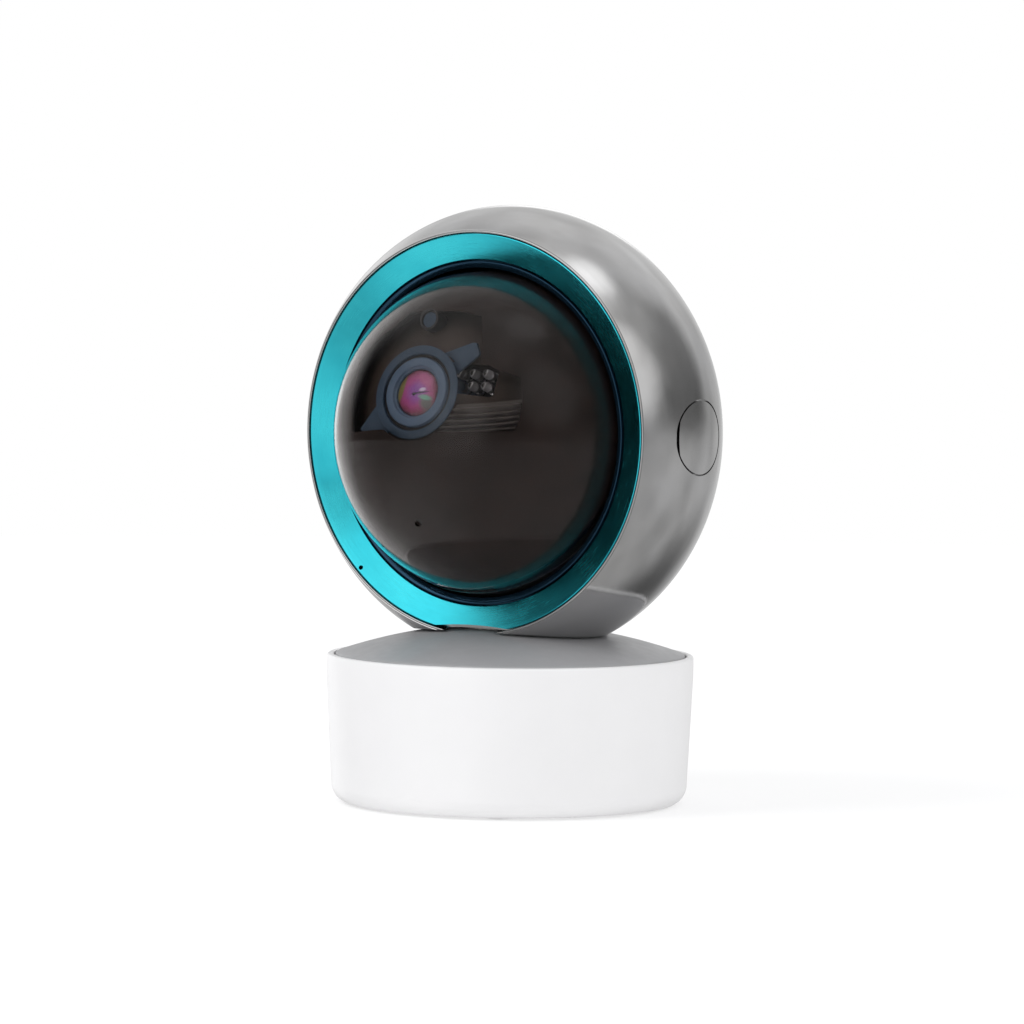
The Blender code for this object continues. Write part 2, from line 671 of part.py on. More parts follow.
def lens(ball):
    holder = applied(box((-8, -9.6, -8), (8, -4.9, 8), 0.4))
    plus(holder, tube(7.6, 6.7, 9.0, 17.0, "F", steps=20))
    minus(holder, box((-4.2, -7.4, -4.2), (4.2, -4, 4.2)))
    minus(holder, cylinder(6.62, 7.2, 20, "F", steps=20))
    place(holder, "lens_holder", BLACK, ball)
    barrel = [
        (5.1, 27.65),
        (6.15, 27.65),
        (6.4, 27.4),
        (6.4, 10.0),
        (3.0, 10.0),
        (3.0, 24.6),
        (4.5, 24.6),
        (4.5, 27.0),
        (4.85, 27.2),
    ]
    place(turned(barrel, 32, "F"), "lens_barrel", BLACK, ball)
    front = [(r, 25.8 + 1.2 * sqrt(max(0, 1 - (r / 4.6) ** 2))) for r in spread(0, 4.2, 5)]
    place(turned([*front, (4.2, 24.9), (0, 24.9)], 24, "F"), "lens_glass", GLASS, ball)

    ear_upper = [(4.5, 7.4), (7.0, 11.9), (9.6, 10.6), (10.4, 8.0), (7.6, 3.6)]
    ear_lower = [(-8.4, 1.2), (-12.0, -2.2), (-14.2, -6.6), (-6.4, -7.2)]
    bracket = applied(cylinder(8.75, 23.3, 26.4, "F", steps=28))
    for ear in (ear_upper, ear_lower):
        plus(bracket, plate(ear, 23.6, 24.5, "F"))
    minus(bracket, cylinder(7.1, 20, 30, "F", steps=28))
    place(bracket, "lens_bracket", BLUE_GREY, ball)


def bezel_parts(ball):
    """The black mask behind the dome, with its lens hole and lamp window."""
    bottom = -6.2
    left = arc(20.4, radians(197), radians(122), 12)
    outline = [*left, (-8.6, 18.2), (6.4, 18.2), (8.4, 17.2), (9.8, 11.6), (14.0, 10.8), (18.2, 7.6)]
    outline += [(19.6, bottom)]
    window = rounded(7.4, 5.9, 1.0, (10.2, 1.35), 3)
    bezel = plate(outline, 18.4, 19.4, "F")
    minus(bezel, cylinder(9.3, 10, 25, "F", steps=32))
    minus(bezel, plate(window, 15, 23, "F"))
    place(bezel, "bezel", BLACK, ball)

    ribs = 6
    low, high = -4.2, 0.4
    pitch = (high - low) / ribs
    comb = [(17.0, high), (17.0, low)]
    for rib in range(ribs):
        bottom_edge = low + pitch * rib
        comb += [(18.0, bottom_edge), (19.4, bottom_edge + 0.12 * pitch)]
        comb += [(19.4, bottom_edge + 0.5 * pitch), (18.0, bottom_edge + 0.72 * pitch)]
    louvre = plate([(-f, v) for f, v in comb], 9.6, 17.2, "X")
    place(louvre, "louvre", BLACK, ball)

    place(box((8.7, -16.0, 0.9), (17.4, -15.0, 7.0)), "ir_board", BOARD, ball)
    lamp = [(0, 20.2), (0.8, 19.9), (1.25, 19.1), (1.25, 16.3), (0, 16.3)]
    number = 0
    for row in range(2):
        for column in range(3):
            number += 1
            spot = (9.9 + 3.0 * column, 0, 2.5 + 2.9 * row)
            place(turned(lamp, 8, "F", spot), f"ir_led_{number}", GLASS, ball)

    eye = at_angle(cylinder(1.35, 24.4, 29.1, "F", steps=20), LIGHT_SENSOR_LIFT)
    place(eye, "light_sensor", BLUE_GREY, ball)
    capsule = at_angle(cylinder(1.8, 26.0, 28.9, "F", steps=16), -DOME_MICROPHONE_DROP)
    place(capsule, "dome_microphone", STEEL, ball)


def tilt_drive(ball):
    distance = (TILT_GEAR_TEETH + TILT_PINION_TEETH) * TILT_MODULE / 2
    spot = (0, -distance * cos(TILT_MOTOR_ANGLE), distance * sin(TILT_MOTOR_ANGLE))
    motor = applied(cylinder(7.0, 8.4, 20.0, "X", spot, 20))
    plus(motor, cylinder(1.8, 19.0, 20.9, "X", spot, 12))
    minus(motor, cylinder(1.1, 14.0, 23.0, "X", spot, 10))
    place(motor, "tilt_motor", STEEL, ball)
    pivot = empty("tilt_pinion_axis", spot, parent=ball)
    half_tooth = pi / TILT_PINION_TEETH
    outline = gear_outline(TILT_PINION_TEETH, TILT_MODULE, pi - TILT_MOTOR_ANGLE + pi + half_tooth)
    pinion = plate(outline, 21.3, 23.9, "X")
    plus(pinion, cylinder(0.85, 15.0, 21.8, "X", steps=10))
    place(pinion, "tilt_pinion", BRASS, pivot)


def reset_button(ball):
    pivot = empty("reset_button_axis", (-10.0, -1.6, -28.2), parent=ball)
    button = box((-1.2, -0.6, -0.4), (1.2, 0.6, 1.6), 0.2)
    place(button, "reset_button", BLACK, pivot)


def main():
    start()
    base_shell()
    base_cap()
    bottom_cover()
    foot_pad()
    base_fittings()
    pan_drive()
    head_shell()
    front_ring()
    inner_collar()
    side_caps()
    yoke()
    spindle()
    pivots()
    wiring_loom()
    ball = empty("ball_axis", BALL_CENTRE, radians(-LENS_UP))
    ball_shells(ball)
    ball_frame(ball)
    boards(ball)
    lens(ball)
    bezel_parts(ball)
    tilt_drive(ball)
    reset_button(ball)


main()
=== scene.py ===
"""Looks of an indoor security camera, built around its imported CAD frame.

Metres, +Z up, the front faces -Y, and lengths below are millimetres times MM. Visible pieces are finer stand-ins for
their CAD nodes, and the inner CAD nodes stay, with procedural materials. The outside keeps the CAD's dimensions, while
the pieces close behind the dome stand up to 2 mm beside their nodes.
"""

from math import acos, asin, cos, pi, radians, sin, sqrt, tan

import bmesh
import bpy
import numpy as np
from mathutils import Matrix, Vector


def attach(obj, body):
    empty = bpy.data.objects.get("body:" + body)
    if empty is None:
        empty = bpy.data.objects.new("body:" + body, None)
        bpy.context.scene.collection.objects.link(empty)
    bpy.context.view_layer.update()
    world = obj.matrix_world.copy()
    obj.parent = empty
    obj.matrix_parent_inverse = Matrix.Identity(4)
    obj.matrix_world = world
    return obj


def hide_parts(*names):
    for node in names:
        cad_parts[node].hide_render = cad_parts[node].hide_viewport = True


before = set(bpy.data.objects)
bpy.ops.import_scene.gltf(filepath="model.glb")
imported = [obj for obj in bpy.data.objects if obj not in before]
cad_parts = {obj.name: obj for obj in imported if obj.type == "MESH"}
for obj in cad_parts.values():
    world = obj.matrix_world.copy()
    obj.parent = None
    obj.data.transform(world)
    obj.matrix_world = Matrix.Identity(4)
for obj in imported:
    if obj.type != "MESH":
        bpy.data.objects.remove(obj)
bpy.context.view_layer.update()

MM = 0.001

# Dimensions shared with the CAD, in millimetres.
HEAD_RADIUS = 42.27  # the head is a ball flattened front to back
HEAD_DEPTH = 29.57
HEAD_Z = 69.43
HEAD_WALL = 2.2
RING_Y = -13.75  # front edge of the head shell
RING_SEAT = 36.95  # radius of the head shell's seat for the ring
BALL_RADIUS = 30.89
BALL_Y = -4.52
LENS_UP = radians(16)
BASE_RADIUS = 34.3
BASE_FOOT_RADIUS = 33.3
BASE_WALL = 2.0
BASE_FILLET = 3.6
BASE_HEIGHT = 27.83
RIM_INNER = 33.0
CAP_RISE = 5.6  # of the base cap's crown over the base's rim
CAP_SPHERE = 100.0
SIDE_CAP_Y = -0.8
SIDE_CAP_SEAT = 40.7
BOSS_CIRCLE = 27.9
PIVOT_BORE = 5.4
MICROPHONE_ANGLE = radians(226)  # of the ring's pinhole, from +X towards +Z
MICROPHONE_DROP = radians(47.5)  # of the dome's pinhole below the lens axis

# The visual model's own. Places in the ball are (x, y, z) in BALL_FRAME, which starts at its middle and tilts with the
# lens, and SENSOR_AT and LENS_AT are the feet of lines along its Y.
DOME_WALL = 0.45
MASK_RADIUS = 30.2
MASK_WALL = 0.5
SURROUND_RADIUS = 26.8
LENS_AT = (-0.85, 0, 0.4)
SENSOR_AT = (-1.8, 0, 14.45)
BARREL_RADIUS = 6.5
REACH = 40  # from the ball's middle to a cutter's far end, clear of the ball

HEAD_CENTRE = (0, 0, HEAD_Z)
BALL_CENTRE = (0, BALL_Y, HEAD_Z)
BALL_FRAME = Matrix.Translation(Vector(BALL_CENTRE)) @ Matrix.Rotation(-LENS_UP, 4, "X")

AXES = {
    "Z": Matrix.Identity(4),
    "F": Matrix.Rotation(radians(90), 4, "X"),
    "X": Matrix.Rotation(radians(90), 4, "Y"),
}


# ---------------------------------------------------------------- shapes


def spread(first, last, count):
    return [first + (last - first) * i / (count - 1) for i in range(count)]


def arc(radius, first, last, count, centre=(0, 0)):
    return [(centre[0] + radius * cos(a), centre[1] + radius * sin(a)) for a in spread(first, last, count)]


def circle(radius, count):
    return arc(radius, 0, 2 * pi * (1 - 1 / count), count)


def rounded_corners(points, radius, steps=4, closed=True, sharpest=25):
    """The outline with each corner that turns more than this many degrees worked into an arc."""
    made = []
    count = len(points)
    for i, point in enumerate(points):
        if not closed and i in (0, count - 1):
            made.append(point)
            continue
        here = Vector(point)
        back = Vector(points[i - 1]) - here
        ahead = Vector(points[(i + 1) % count]) - here
        turn = pi - back.angle(ahead)
        if turn < radians(sharpest):
            made.append(point)
            continue
        reach = min(radius * tan(turn / 2), 0.45 * back.length, 0.45 * ahead.length)
        start, end = here + back.normalized() * reach, here + ahead.normalized() * reach
        for t in spread(0, 1, steps):
            # A quadratic curve through the corner's tangent points is close enough to an arc at this size.
            made.append(tuple((1 - t) ** 2 * start + 2 * t * (1 - t) * here + t * t * end))
    return made


def mesh_object(name, points, faces, matrix=Matrix.Identity(4)):
    mesh = bpy.data.meshes.new(name)
    mesh.from_pydata([tuple(Vector(p) * MM) for p in points], [], faces)
    placed = Matrix.Translation(matrix.translation * MM) @ matrix.to_3x3().to_4x4()
    mesh.transform(placed)
    shape = bmesh.new()
    shape.from_mesh(mesh)
    bmesh.ops.remove_doubles(shape, verts=shape.verts, dist=1e-7)
    bmesh.ops.recalc_face_normals(shape, faces=shape.faces)
    shape.to_mesh(mesh)
    shape.free()
    obj = bpy.data.objects.new(name, mesh)
    bpy.context.scene.collection.objects.link(obj)
    return obj


def turned(profile, steps=160, axis="Z", at=(0, 0, 0), within=Matrix.Identity(4)):
    """A turned solid from (radius, height) points. Heights run along +Z, along -Y for "F" or along +X for "X"."""
    closed = profile[0][0] > 0 or profile[-1][0] > 0
    count = len(profile)
    points, index = [], []
    for radius, height in profile:
        if radius == 0:
            index.append([len(points)] * steps)
            points.append((0, 0, height))
            continue
        index.append(list(range(len(points), len(points) + steps)))
        points += [(radius * cos(a), radius * sin(a), height) for a in spread(0, 2 * pi * (1 - 1 / steps), steps)]
    faces = []
    for k in range(count if closed else count - 1):
        here, after = index[k], index[(k + 1) % count]
        for i in range(steps):
            j = (i + 1) % steps
            corners = [here[i], after[i], after[j], here[j]]
            face = list(dict.fromkeys(corners))
            if len(face) > 2:
                faces.append(face)
    return mesh_object("turned", points, faces, within @ Matrix.Translation(Vector(at)) @ AXES[axis])


def cylinder(radius, low, high, axis="Z", at=(0, 0, 0), steps=64, within=Matrix.Identity(4), edge=0.0):
    profile = [(0, high), (radius, high), (radius, low), (0, low)]
    if edge:
        profile = rounded_corners(profile, edge, closed=False)
    return turned(profile, steps, axis, at, within)


def plate(outline, low, high, axis="Z", within=Matrix.Identity(4), edge=0.0):
    """A flat piece with this (a, b) outline, from low to high along the axis, its edges rounded off."""
    shape = bmesh.new()
    levels = [low, high]
    if edge:
        levels = [low, low + edge * 0.3, low + edge, high - edge, high - edge * 0.3, high]
    insets = {0: edge, 1: edge * 0.3, 4: edge * 0.3, 5: edge}
    count = len(outline)
    area = sum(outline[i - 1][0] * outline[i][1] - outline[i][0] * outline[i - 1][1] for i in range(count))
    inward = 1 if area > 0 else -1
    rows = []
    for level, height in enumerate(levels):
        inset = insets.get(level, 0.0) if edge else 0.0
        row = []
        for i, (a, b) in enumerate(outline):
            before, after = outline[i - 1], outline[(i + 1) % count]
            along = (Vector((a, b)) - Vector(before)).normalized() + (Vector(after) - Vector((a, b))).normalized()
            normal = Vector((-along.y, along.x)).normalized() * inward
            row.append(shape.verts.new((a + normal.x * inset, b + normal.y * inset, height)))
        rows.append(row)
    for here, after in zip(rows, rows[1:]):
        for i in range(count):
            j = (i + 1) % count
            shape.faces.new((here[i], here[j], after[j], after[i]))
    shape.faces.new(rows[0])
    shape.faces.new(rows[-1])
    points = [tuple(v.co) for v in shape.verts]
    shape.verts.index_update()
    faces = [[v.index for v in f.verts] for f in shape.faces]
    shape.free()
    return mesh_object("plate", points, faces, within @ AXES[axis])


def block(low, high, edge=0.2, within=Matrix.Identity(4)):
    """A box whose long edges are rounded."""
    (x0, y0, z0), (x1, y1, z1) = low, high
    corner = min(edge, 0.45 * (x1 - x0), 0.45 * (y1 - y0))
    outline = rounded_corners([(x0, y0), (x1, y0), (x1, y1), (x0, y1)], corner * 1.2)
    return plate(outline, z0, z1, "Z", within=within, edge=min(edge, 0.4 * (z1 - z0)) * 0.8)


def combined(obj, others, operation):
    for other in others:
        step = obj.modifiers.new("cut", "BOOLEAN")
        step.operation = operation
        step.solver = "EXACT"
        step.object = other
        other.hide_render = True
    bpy.context.view_layer.update()
    graph = bpy.context.evaluated_depsgraph_get()
    mesh = bpy.data.meshes.new_from_object(obj.evaluated_get(graph))
    obj.modifiers.clear()
    obj.data = mesh
    for other in others:
        bpy.data.objects.remove(other, do_unlink=True)
    return obj


def minus(obj, *others):
    return combined(obj, others, "DIFFERENCE")


def common(obj, *others):
    return combined(obj, others, "INTERSECT")


def joined(first, *others):
    """Several meshes as one piece."""
    shape = bmesh.new()
    for obj in (first, *others):
        shape.from_mesh(obj.data)
    shape.to_mesh(first.data)
    shape.free()
    for obj in others:
        bpy.data.objects.remove(obj, do_unlink=True)
    return first


def cap_height(radius, above=0.0):
    """Height of the base cap's crown at this distance from the pan axis."""
    return BASE_HEIGHT + CAP_RISE - CAP_SPHERE + sqrt(CAP_SPHERE**2 - radius**2) + above


def under_cap(above):
    """Everything below the base cap's crown, raised by this much."""
    radius = 60.0
    top = [(r, cap_height(r, above)) for r in spread(0, radius, 40)]
    return turned([*top, (radius, -20), (0, -20)], 144)


def smooth(obj, angle=32):
    obj.data.shade_smooth()
    obj.data.set_sharp_from_angle(angle=radians(angle))
    return obj


def exact_normals(obj, centre, axes):
    """Gives the faces that lie on an ellipsoid its own normals, so that a cut leaves no mark in a reflection."""
    mesh = obj.data
    count = len(mesh.loops)
    normals = np.empty(count * 3, np.float32)
    mesh.corner_normals.foreach_get("vector", normals)
    normals = normals.reshape(-1, 3)
    vertex = np.empty(count, np.int32)
    mesh.loops.foreach_get("vertex_index", vertex)
    places = np.empty(len(mesh.vertices) * 3, np.float32)
    mesh.vertices.foreach_get("co", places)
    places = places.reshape(-1, 3)[vertex] / MM - np.array(centre)
    totals = np.empty(len(mesh.polygons), np.int32)
    mesh.polygons.foreach_get("loop_total", totals)
    facing = np.empty(len(mesh.polygons) * 3, np.float32)
    mesh.polygons.foreach_get("normal", facing)
    facing = np.repeat(facing.reshape(-1, 3), totals, axis=0)
    within = 0.012
    for radii, side in axes:
        radii = np.array(radii)
        off = (np.sqrt(((places / radii) ** 2).sum(1)) - 1) * radii.min()
        gradient = places / radii**2
        gradient /= np.maximum(np.linalg.norm(gradient, axis=1)[:, None], 1e-9)
        gradient *= side
        on = (np.abs(off) < within) & ((gradient * facing).sum(1) > 0.985)
        normals[on] = gradient[on]
    mesh.normals_split_custom_set(normals.tolist())
    return obj


# ---------------------------------------------------------------- materials


class Look:
    """A material under construction: a Principled shader and short calls to add and link nodes."""

    def __init__(self, name, **settings):
        self.material = bpy.data.materials.new(name)
        self.material.use_nodes = True
        self.nodes = self.material.node_tree.nodes
        self.links = self.material.node_tree.links
        self.shader = self.nodes["Principled BSDF"]
        self.output = self.nodes["Material Output"]
        self.place = None
        for socket, value in settings.items():
            self.set(socket.replace("_", " "), value)

    def set(self, socket, value):
        if isinstance(value, tuple) and len(value) == 3:
            value = (*value, 1)
        self.shader.inputs[socket].default_value = value

    def node(self, kind, out=0, **inputs):
        """Adds a node. Inputs are values or other nodes' sockets, by socket name, or by number as i0, i1."""
        made = self.nodes.new("ShaderNode" + kind)
        for key, value in inputs.items():
            if key.startswith("set_"):
                setattr(made, key[4:], value)
                continue
            numbered = key[0] == "i" and key[1:].isdigit()
            socket = made.inputs[int(key[1:]) if numbered else key.replace("_", " ")]
            if isinstance(value, bpy.types.NodeSocket):
                self.links.new(value, socket)
            else:
                socket.default_value = value
        return made.outputs[out]

    def coords(self):
        if self.place is None:
            self.place = self.node("TexCoord", out=3)
        return self.place

    def noise(self, size, detail=3.0, roughness=0.55, where=None):
        """Noise whose features are about this many millimetres across."""
        spot = where or self.coords()
        return self.node("TexNoise", Vector=spot, Scale=1 / (size * MM), Detail=detail, Roughness=roughness)

    def ranged(self, value, low, high, start=0.3, end=0.7):
        return self.node("MapRange", i0=value, i1=start, i2=end, i3=low, i4=high)

    def ramp(self, value, *stops):
        made = self.nodes.new("ShaderNodeValToRGB")
        elements = made.color_ramp.elements
        while len(elements) < len(stops):
            elements.new(0.5)
        for element, (position, colour) in zip(elements, stops):
            element.position = position
            element.color = (*colour, 1)
        self.links.new(value, made.inputs[0])
        return made.outputs[0]

    def mix(self, share, first, second):
        made = self.nodes.new("ShaderNodeMix")
        made.data_type = "RGBA"
        for socket, value in ((made.inputs[0], share), (made.inputs[6], first), (made.inputs[7], second)):
            if isinstance(value, bpy.types.NodeSocket):
                self.links.new(value, socket)
            else:
                socket.default_value = value if isinstance(value, (int, float)) else (*value, 1)
        return made.outputs[2]

    def math(self, operation, first, second=0.0):
        return self.node("Math", set_operation=operation, i0=first, i1=second)

    def link(self, socket, value):
        self.links.new(value, self.shader.inputs[socket])

    def bump(self, height, depth, onto=None):
        """Bump of this depth in millimetres from a height of 0 to 1."""
        made = self.nodes.new("ShaderNodeBump")
        made.inputs["Strength"].default_value = 1.0
        made.inputs["Distance"].default_value = depth * MM
        self.links.new(height, made.inputs["Height"])
        if onto is not None:
            self.links.new(onto, made.inputs["Normal"])
        return made.outputs[0]

    def around(self, centre, axis="Y"):
        """(distance from an axis through this point, angle round it as 0 to 1, distance along it), in metres."""
        spot = self.node("VectorMath", set_operation="SUBTRACT", i0=self.coords(), i1=tuple(c * MM for c in centre))
        apart = self.nodes.new("ShaderNodeSeparateXYZ")
        self.links.new(spot, apart.inputs[0])
        along = apart.outputs["XYZ".index(axis)]
        a, b = [apart.outputs[i] for i in range(3) if "XYZ"[i] != axis]
        square = self.math("ADD", self.math("MULTIPLY", a, a), self.math("MULTIPLY", b, b))
        angle = self.math("ARCTAN2", b, a)
        return self.math("SQRT", square), self.math("DIVIDE", angle, 2 * pi), along


def moulded(name, colour, roughness=0.4, grain=0.35, depth=0.006, variation=0.04, **settings):
    """Moulded plastic: a fine spark-eroded grain, a little flow mottle and faint handling marks in the gloss."""
    look = Look(name, Roughness=roughness, **settings)
    mottle = look.noise(9, 4)
    darker = tuple(c * (1 - variation) for c in colour)
    lighter = tuple(min(1, c * (1 + variation * 0.5)) for c in colour)
    look.link("Base Color", look.ramp(mottle, (0.3, darker), (0.7, lighter)))
    marks = look.noise(2.6, 4, 0.6)
    look.link("Roughness", look.ranged(marks, roughness * 0.85, min(1, roughness * 1.2)))
    normal = look.bump(look.noise(14, 2), 0.03)
    if depth:
        normal = look.bump(look.noise(grain, 2, 0.6), depth, onto=normal)
    look.link("Normal", normal)
    return look.material


def metal(name, colour, roughness):
    """Turned or rolled metal: fine lines round the pan axis, with uneven gloss."""
    look = Look(name, Metallic=1.0, Roughness=roughness)
    radius, angle, along = look.around((0, 0, 0), "Z")
    where = look.node("CombineXYZ", i0=radius, i1=look.math("MULTIPLY", angle, 0.004), i2=along)
    lines = look.noise(0.12, 3, 0.7, where=where)
    patches = look.noise(3.0, 4)
    darker = tuple(c * 0.94 for c in colour)
    look.link("Base Color", look.ramp(patches, (0.3, darker), (0.7, colour)))
    wear = look.math("ADD", lines, look.math("MULTIPLY", patches, 0.5))
    look.link("Roughness", look.ranged(wear, roughness * 0.7, roughness * 1.35, 0.45, 1.0))
    look.link("Normal", look.bump(lines, 0.004))
    return look.material


def chrome(name):
    """Plating on plastic: bright, with a slow orange peel and a faint satin haze left by the polishing wheel."""
    look = Look(name, Metallic=1.0)
    radius, angle, along = look.around(HEAD_CENTRE, "Y")
    where = look.node("CombineXYZ", i0=radius, i1=look.math("MULTIPLY", angle, 0.012), i2=along)
    sweep = look.noise(1.3, 4, 0.65, where=where)
    haze = look.noise(16, 3)
    look.link("Base Color", look.ramp(haze, (0.3, (0.50, 0.495, 0.49)), (0.7, (0.57, 0.57, 0.575))))
    both = look.math("ADD", look.math("MULTIPLY", sweep, 0.6), look.math("MULTIPLY", haze, 0.4))
    look.link("Roughness", look.ranged(both, 0.11, 0.19, 0.35, 0.65))
    peel = look.noise(7, 2, 0.45)
    look.link("Normal", look.bump(sweep, 0.0025, onto=look.bump(peel, 0.05)))
    return look.material


def anodised(name):
    """Teal anodised aluminium with the lathe's circular marks."""
    look = Look(name, Metallic=1.0)
    radius, angle, along = look.around(HEAD_CENTRE, "Y")
    where = look.node("CombineXYZ", i0=radius, i1=look.math("MULTIPLY", angle, 0.010), i2=along)
    lines = look.noise(0.16, 3, 0.65, where=where)
    cloud = look.noise(11, 3)
    look.link("Base Color", look.ramp(cloud, (0.25, (0.030, 0.44, 0.53)), (0.75, (0.052, 0.60, 0.69))))
    look.link("Roughness", look.ranged(look.math("ADD", lines, cloud), 0.17, 0.29, 0.75, 1.25))
    look.link("Normal", look.bump(lines, 0.0035))
    return look.material


def clear(name, tint, roughness=0.02, ior=1.49):
    """Clear plastic or glass. Shadow rays meet a Transparent shader, so that lamps reach what is behind it."""
    look = Look(name, Roughness=roughness, IOR=ior, Transmission_Weight=1.0)
    look.set("Base Color", tint)
    swirl = look.noise(22, 2, 0.4)
    look.link("Roughness", look.ranged(look.noise(4.0, 4, 0.7), roughness, roughness + 0.03))
    look.link("Normal", look.bump(swirl, 0.02))
    path = look.nodes.new("ShaderNodeLightPath")
    through = look.nodes.new("ShaderNodeBsdfTransparent")
    through.inputs["Color"].default_value = (*(sqrt(c) for c in tint), 1)
    mixed = look.nodes.new("ShaderNodeMixShader")
    look.links.new(path.outputs["Is Shadow Ray"], mixed.inputs[0])
    look.links.new(look.shader.outputs[0], mixed.inputs[1])
    look.links.new(through.outputs[0], mixed.inputs[2])
    look.links.new(mixed.outputs[0], look.output.inputs["Surface"])
    return look.material


def board_look(name, resist, pad):
    """Solder resist over copper: a pattern of tracks and tinned pads."""
    look = Look(name, Roughness=0.35)
    cells = look.node("TexVoronoi", Vector=look.coords(), Scale=1 / (2.2 * MM), Randomness=1.0)
    tracks = look.node(
        "TexWave", Vector=look.coords(), Scale=1 / (3.2 * MM), Distortion=6.0, Detail=2.0, Detail_Scale=0.8
    )
    share = look.ranged(tracks, 0.0, 1.0, 0.62, 0.70)
    lighter = tuple(min(1, c * 1.8 + 0.004) for c in resist)
    base = look.mix(share, resist, lighter)
    pads = look.ranged(cells, 1.0, 0.0, 0.16, 0.22)
    look.link("Base Color", look.mix(pads, base, pad))
    look.link("Metallic", pads)
    look.link("Roughness", look.ranged(look.noise(1.5), 0.28, 0.46))
    look.link("Normal", look.bump(look.math("ADD", share, pads), 0.035))
    return look.material


def coating_with_painted_reflections(name):
    """Painted reflections of the front element's coating: violet to magenta, darker to the rim, with painted olive,
    grey, green and black reflections and a painted lilac highlight fixed to it.
    """
    look = Look(name, Roughness=0.06, Metallic=0.0, Coat_Weight=0.35, Coat_Roughness=0.02, Coat_IOR=1.35)
    right, _, up = LENS_AT
    tip = BALL_FRAME @ Vector((right, -26.0, up))
    spot = look.node("VectorMath", set_operation="SUBTRACT", i0=look.coords(), i1=tuple(tip * MM))
    turned_spot = look.node("VectorRotate", Vector=spot, set_rotation_type="X_AXIS", Angle=LENS_UP)
    apart = look.nodes.new("ShaderNodeSeparateXYZ")
    look.links.new(turned_spot, apart.inputs[0])
    s, v = apart.outputs[0], apart.outputs[2]
    radius = look.math("SQRT", look.math("ADD", look.math("MULTIPLY", s, s), look.math("MULTIPLY", v, v)))
    swirl = look.noise(1.6, 3, 0.6)
    wobble = look.math("MULTIPLY", look.math("SUBTRACT", swirl, 0.5), 0.35)
    ring = look.math("ADD", look.math("DIVIDE", radius, 4.4 * MM), wobble)

    def spot_share(at, reach, turn, soft):
        """1 inside an ellipse round this (right, up) point, 0 outside."""
        across, along = [look.math("SUBTRACT", place, part * MM) for place, part in zip((s, v), at)]
        near = look.node("CombineXYZ", i0=across, i1=along)
        near = look.node("VectorRotate", Vector=near, set_rotation_type="Z_AXIS", Angle=-radians(turn))
        scale = (1 / reach[0] / MM, 1 / reach[1] / MM, 0)
        near = look.node("VectorMath", set_operation="MULTIPLY", i0=near, i1=scale)
        length = look.node("VectorMath", out=1, set_operation="LENGTH", i0=near)
        return look.ranged(look.math("ADD", length, wobble), 1.0, 0.0, 1 - soft, 1.1)

    body = look.ramp(
        ring,
        (0.0, (0.22, 0.06, 0.34)),
        (0.30, (0.30, 0.07, 0.36)),
        (0.62, (0.40, 0.07, 0.24)),
        (0.88, (0.26, 0.06, 0.12)),
        (1.0, (0.03, 0.02, 0.03)),
    )
    # Each painted reflection or highlight: place, reach, turn in degrees, softness and colour.
    black = (0.004, 0.003, 0.008)
    painted_reflections = (
        ((1.3, 2.6), (2.0, 1.1), -35, 0.5, (0.46, 0.11, 0.28)),
        ((-3.7, 0.6), (0.85, 2.9), -8, 0.4, (0.20, 0.17, 0.055)),
        ((2.3, -1.9), (1.6, 1.7), 30, 0.5, (0.12, 0.12, 0.12)),
        ((1.2, 0.55), (0.8, 0.4), 10, 0.5, (0.62, 0.52, 0.72)),
        ((1.9, -0.9), (1.5, 0.55), -8, 0.5, (0.17, 0.40, 0.31)),
        ((0.9, -0.05), (2.3, 0.2), 10, 0.6, black),
        ((-0.5, -0.35), (0.5, 0.42), 0, 0.6, black),
    )
    for at, reach, turn, soft, colour in painted_reflections:
        body = look.mix(spot_share(at, reach, turn, soft), body, colour)
    look.link("Base Color", body)
    look.link("Roughness", look.ranged(swirl, 0.04, 0.10))
    return look.material


def inner_moulding(name, colour, roughness, variation, gloss=0.5):
    """A moulding behind the dome, too far in for its grain to show."""
    return moulded(name, colour, roughness, depth=0, variation=variation, Specular_IOR_Level=gloss)


